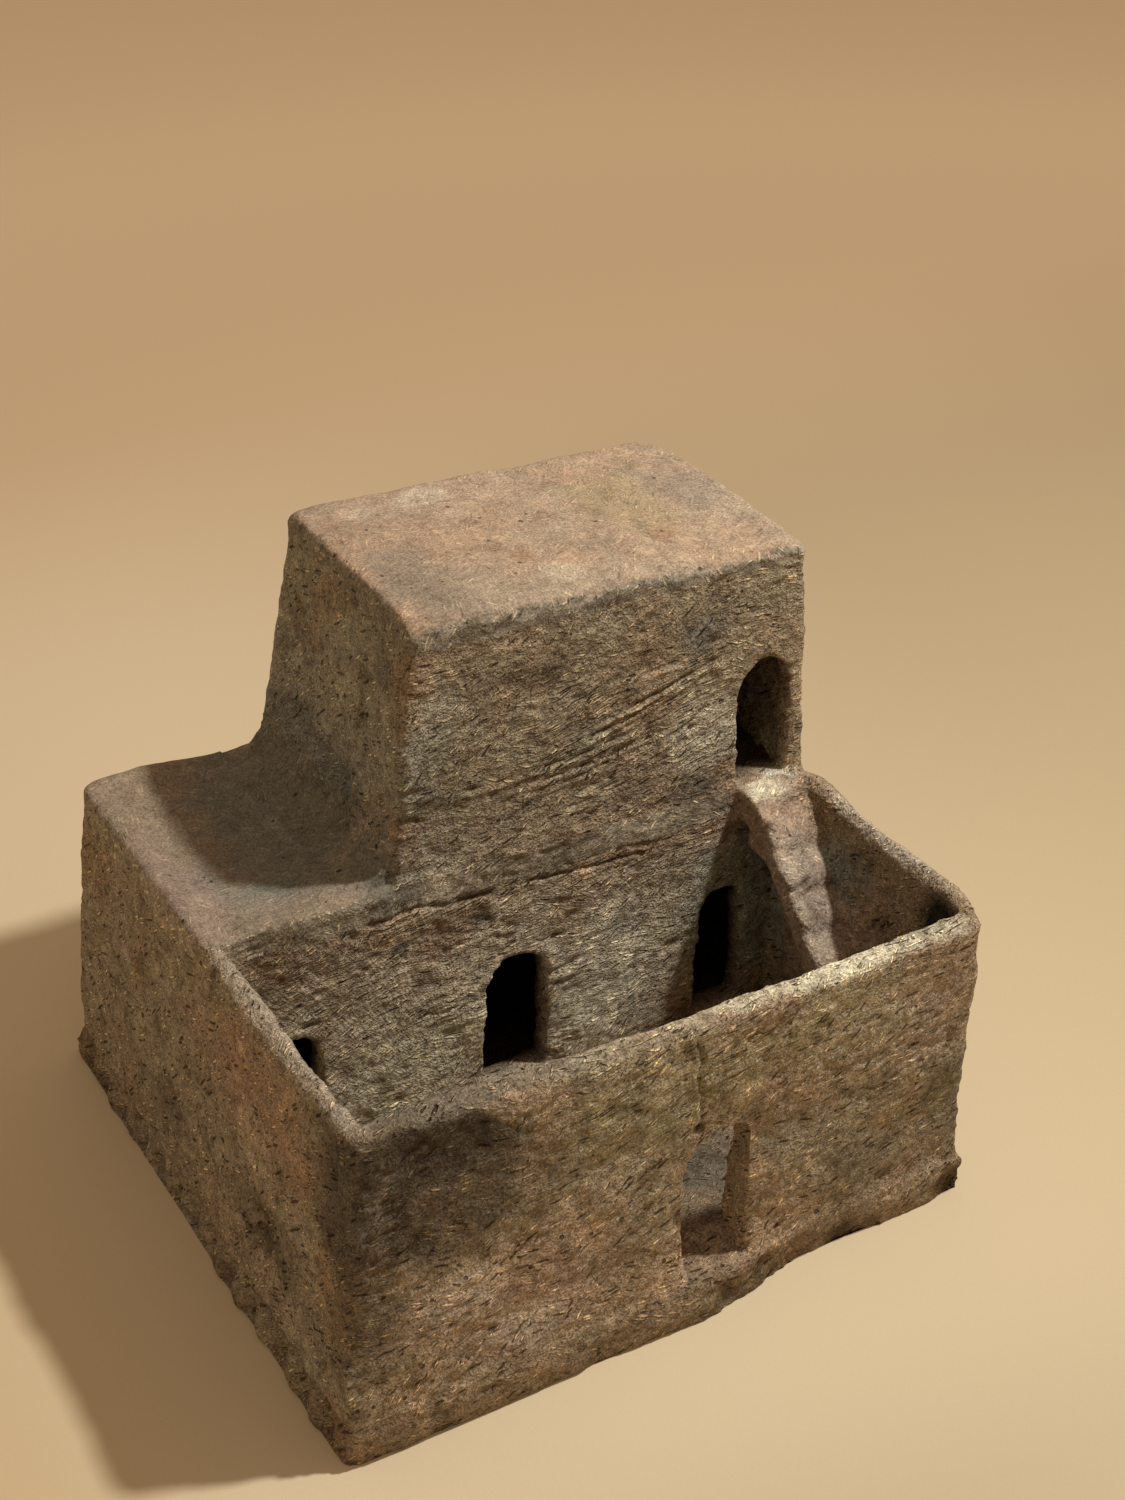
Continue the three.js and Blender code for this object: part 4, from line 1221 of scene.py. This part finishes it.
# Each piece keeps a note of how deep its surface lies, to darken its hollows and pale its ridges
def finishPiece(node, piece):
    editAll(piece)
    bpy.ops.mesh.delete_loose()
    leaveEdit()
    places = vertexPlaces(piece) / mm
    _, fine = clayRelief(places, vertexNormals(piece))
    hollow = piece.data.attributes.new("hollow", "FLOAT", "POINT")
    hollow.data.foreach_set("value", fine.astype(np.float32))
    # A second note sets how much painted shade darkens the clay inside the rooms
    paintedIndoorShade = piece.data.attributes.new("paintedIndoorShade", "FLOAT", "POINT")
    paintedIndoorShade.data.foreach_set("value", indoorShadeShare(places).astype(np.float32))
    selectOnly(piece)
    bpy.ops.object.shade_smooth_by_angle(angle=math.radians(60))
    piece.data.materials.clear()
    piece.data.materials.append(materials[slotOf[node]])
    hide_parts(node)
    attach(piece, "root")


for nodeName, clayPiece in claySplit.items():
    clayPiece.name = "clay_" + nodeName
    finishPiece(nodeName, clayPiece)
    print("  ", clayPiece.name, len(clayPiece.data.polygons), "faces")


# Floor, light and camera. The key is a near lamp, so its shadows fan out. The paper's colour carries painted
# light: it is paler away from the lamp, to make up for the lamp's falloff, paler on the left, darker on the
# right and darker along the front edge.
# A painted-light tint sets in along one axis (0 is x, 1 is y) from a first place to a second, in metres.
studio = {
    "floorSize": 16,
    "floorNear": (0.60, 0.495, 0.325),
    "floorFar": (0.75, 0.60, 0.40),
    "floorFarther": (0.95, 0.80, 0.56),
    "floorLeftLight": (1.16, 1.17, 1.18),
    "floorRightShade": (0.86, 0.82, 0.76),
    "floorLightTints": {
        "edge": (0, -0.20, -0.30, (1.08, 1.03, 0.95)),
        "behind": (1, 0.5, 1.0, (1.05, 0.99, 0.92)),
        "front": (1, -0.19, -0.33, (0.95, 0.95, 0.95)),
    },
    "keyPlace": (0.492, -0.238, 1.160),
    "keyPower": 47.5,
    "keyRadius": 0.035,
    "keyColor": (1.0, 0.985, 0.95),
    "fillStrength": 0.38,
    "fillColor": (1.0, 0.76, 0.55),
}


def makeFloor():
    bpy.ops.object.select_all(action="DESELECT")
    bpy.ops.mesh.primitive_plane_add(size=studio["floorSize"], location=(0, 0, -0.0002))
    floor = bpy.context.object
    floor.name = "studio_floor"
    bpy.ops.object.transform_apply(location=True, rotation=True, scale=True)
    material = bpy.data.materials.new("paper_floor")
    material.use_nodes = True
    tree = material.node_tree
    shader = tree.nodes["Principled BSDF"]
    shader.inputs["Roughness"].default_value = 0.95
    shader.inputs["Specular IOR Level"].default_value = 0.1
    place = addNode(tree, "TexCoord").outputs["Object"]
    axes = addNode(tree, "SeparateXYZ", {"Vector": place})
    ground = addNode(tree, "CombineXYZ", {"X": axes.outputs[0], "Y": axes.outputs[1]})
    lampFoot = (studio["keyPlace"][0], studio["keyPlace"][1], 0.0)
    away = addVector(tree, "DISTANCE", ground.outputs[0], lampFoot)
    far = addStep(tree, away.outputs["Value"], 0.35, 1.5)
    color = addMix(tree, far, opaque(studio["floorNear"]), opaque(studio["floorFar"]))
    farther = addStep(tree, away.outputs["Value"], 1.2, 2.0)
    color = addMix(tree, farther, color, opaque(studio["floorFarther"]))
    across = addStep(tree, axes.outputs[0], -0.08, 0.58)
    lightTint = addMix(tree, across, opaque(studio["floorLeftLight"]), opaque(studio["floorRightShade"]))
    for axis, start, end, paper in studio["floorLightTints"].values():
        lightTint = addMix(tree, addStep(tree, axes.outputs[axis], start, end), lightTint, opaque(paper))
    color = addMix(tree, 1.0, color, lightTint, "MULTIPLY")
    speck = addNode(tree, "TexNoise", {"Vector": place, "Scale": 900.0, "Detail": 2.0})
    speckTone = addStep(tree, speck.outputs["Fac"], 0.3, 0.7, 0.985, 1.015)
    color = addMix(tree, 1.0, color, speckTone, "MULTIPLY")
    link(tree, color, shader.inputs["Base Color"])
    floor.data.materials.append(material)


def addLamp(name, kind, place, power):
    lamp = bpy.data.objects.new(name, bpy.data.lights.new(name, kind))
    bpy.context.scene.collection.objects.link(lamp)
    lamp.location = place
    lamp.data.energy = power
    lamp.data.color = studio["keyColor"]
    return lamp


def makeLight():
    key = addLamp("key_lamp", "POINT", studio["keyPlace"], studio["keyPower"])
    key.data.shadow_soft_size = studio["keyRadius"]
    world = bpy.data.worlds.new("studio_world")
    bpy.context.scene.world = world
    world.use_nodes = True
    background = world.node_tree.nodes["Background"]
    background.inputs[0].default_value = opaque(studio["fillColor"])
    background.inputs[1].default_value = studio["fillStrength"]


cameraView = {"place": (-0.4523, -0.7611, 0.7588), "turn": (58.905, -1.924, -30.877), "lens": 53.5}


def makeCamera():
    camera = bpy.data.objects.new("camera", bpy.data.cameras.new("camera"))
    bpy.context.scene.collection.objects.link(camera)
    camera.location = cameraView["place"]
    camera.rotation_euler = [math.radians(a) for a in cameraView["turn"]]
    camera.data.lens = cameraView["lens"]
    camera.data.clip_end = 50
    bpy.context.scene.camera = camera


makeFloor()
makeLight()
makeCamera()
bpy.context.scene.view_settings.view_transform = "Standard"

print("scene ready")
